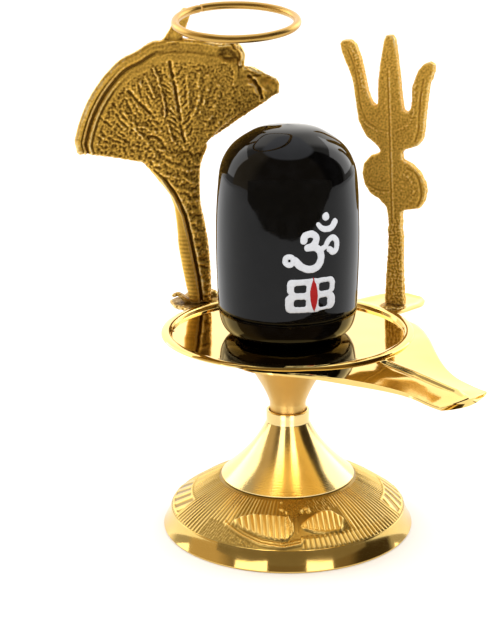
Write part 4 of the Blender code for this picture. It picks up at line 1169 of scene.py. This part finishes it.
outline = [
    (-3.2, 0.0), (-3.1, 3.2), (-2.3, 12.4), (-1.6, 20.3), (-1.5, 28.1), (-1.9, 31.0), (-4.3, 33.6),
    (-6.9, 35.1), (-8.7, 38.0), (-9.4, 41.3), (-8.8, 44.5), (-6.6, 46.9), (-4.0, 47.7), (-3.4, 48.4),
    (-4.2, 50.0), (-7.7, 52.8), (-10.1, 57.6), (-10.8, 63.4), (-11.5, 69.6), (-12.9, 73.9), (-14.7, 78.2),
    (-15.2, 81.0), (-14.6, 81.9), (-12.0, 82.0), (-10.4, 80.6), (-9.0, 76.4), (-7.8, 70.8), (-7.0, 66.2),
    (-5.8, 63.3), (-4.3, 61.8), (-3.8, 63.4), (-3.5, 69.6), (-2.5, 76.4), (-1.3, 81.8), (-0.6, 83.3),
    (1.2, 83.4), (2.0, 82.0), (2.6, 76.3), (3.2, 70.9), (3.6, 64.7), (4.1, 60.8), (5.3, 60.2),
    (6.5, 61.4), (6.9, 64.0), (7.0, 67.8), (8.9, 72.6), (10.8, 74.7), (12.6, 75.3), (13.9, 74.6),
    (14.0, 72.4), (13.4, 71.4), (13.2, 69.9), (12.5, 69.3), (12.2, 67.9), (11.4, 62.4), (10.8, 57.4),
    (10.1, 52.4), (8.4, 50.1), (4.4, 48.9), (3.3, 48.0), (3.5, 45.7), (6.3, 44.3), (8.9, 41.7),
    (10.4, 38.6), (10.8, 36.1), (10.1, 32.9), (8.4, 30.7), (4.1, 30.2), (2.8, 29.4), (2.7, 24.5),
    (2.9, 20.5), (2.7, 12.7), (2.8, 2.8), (3.1, 0.0)]
trident_plate = [[(x, side * TRIDENT_THICK / 2, z) for x, z in outline] for side in (-1, 1)]

# Lines in the face: the points in the plate, the width, and the height or, below 0, the depth
TRIDENT_LINES = [
    ([(-11.5, 80.2), (-9.9, 76.2), (-8.8, 71.4), (-8.1, 67.0)], 0.42, 0.45),
    ([(-12.6, 79.0), (-11.0, 74.5), (-9.9, 68.6), (-9.3, 62.5), (-7.6, 58.0)], 0.30, -0.35),
    ([(-9.4, 59.8), (-6.8, 57.2), (-3.8, 55.4), (-0.6, 54.6)], 0.30, -0.20),
    ([(-9.7, 58.9), (-7.2, 56.4), (-4.0, 54.6), (-0.8, 53.9)], 0.30, 0.20),
    ([(10.6, 70.0), (9.7, 65.0), (9.2, 60.0), (8.8, 55.2), (7.7, 51.6)], 0.33, -0.75),
    ([(8.2, 70.5), (7.9, 66.0), (7.6, 61.5), (6.4, 57.5), (3.0, 55.0)], 0.35, 0.30),
    ([(-7.2, 37.9), (-4.4, 36.4), (-1.0, 36.2)], 0.30, -0.28),
    ([(-7.4, 37.2), (-4.4, 35.7), (-1.2, 35.5)], 0.28, 0.25),
    ([(5.0, 43.2), (7.6, 41.7), (8.9, 38.6), (9.2, 34.8), (8.1, 31.8)], 0.34, -0.75),
    ([(2.6, 41.6), (4.6, 41.0), (6.4, 39.0), (6.9, 36.0), (5.8, 33.4)], 0.40, 0.30),
    ([(1.5, 38.8), (3.6, 39.6), (5.2, 38.0), (5.4, 35.0), (3.8, 32.8)], 0.35, -0.22)]


def trident_depth(places, normals):
    """The flat casting's relief: a centre line, bevelled prongs, and lines in crown and drum."""
    x = places[:, 0]
    z = places[:, 2]
    front = smooth((-normals[:, 1] - 0.2) / 0.5)
    coarse = speckle(places, 2.4)
    middle = speckle(places, 1.0, 4.0)
    fine = speckle(places, 0.55, 9.0)
    bent = x + 0.10 * coarse
    spine = 0.18 * hump(bent - 0.30, 0.34) - 0.22 * hump(bent + 0.26, 0.30)
    spine *= smooth((z - 26.0) / 3.0) * smooth((76.0 - z) / 8.0)
    blade = 0.16 * hump(x - 0.2, 2.2) * smooth((z - 60.0) / 4.0)
    lines = sum(high * stroke(x, z, line, width) for line, width, high in TRIDENT_LINES)
    lines *= 0.42 + 0.5 * np.clip(fine + middle, -0.6, 0.6)
    hatch = np.cos((x + z) * 2.9 + 4.0 * coarse) * np.cos((x - z) * 2.3 - 4.0 * middle)
    on_post = smooth((30.0 - z) / 4.0)
    in_drum = smooth((x - 0.8) / 0.8) * smooth((z - 30.5) / 1.0) * smooth((44.0 - z) / 2.0)
    depth = front * (spine + blade + lines + on_post * 0.16 * hatch)
    depth += (0.06 + 0.14 * on_post + 0.09 * in_drum) * middle + 0.12 * fine + 0.10 * coarse
    return np.clip(depth, -0.8, 0.7)


trident_metal = cast_brass("granular_brass", (0.50, 0.27, 0.03), (0.97, 0.59, 0.10), 0.50, 0.85, 0.72)
trident_place = plate_place(TRIDENT_FOOT, TRIDENT_FACING, 0.0, TRIDENT_SIDE_LEAN)
trident_place = Matrix.Translation((0.0, 0.0, TRIDENT_SOLDER)) @ trident_place
trident = cast("trident_cast", [trident_plate], trident_place, 0.22, trident_metal)
weather(trident, trident_depth)
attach(trident, "root")
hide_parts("trident")
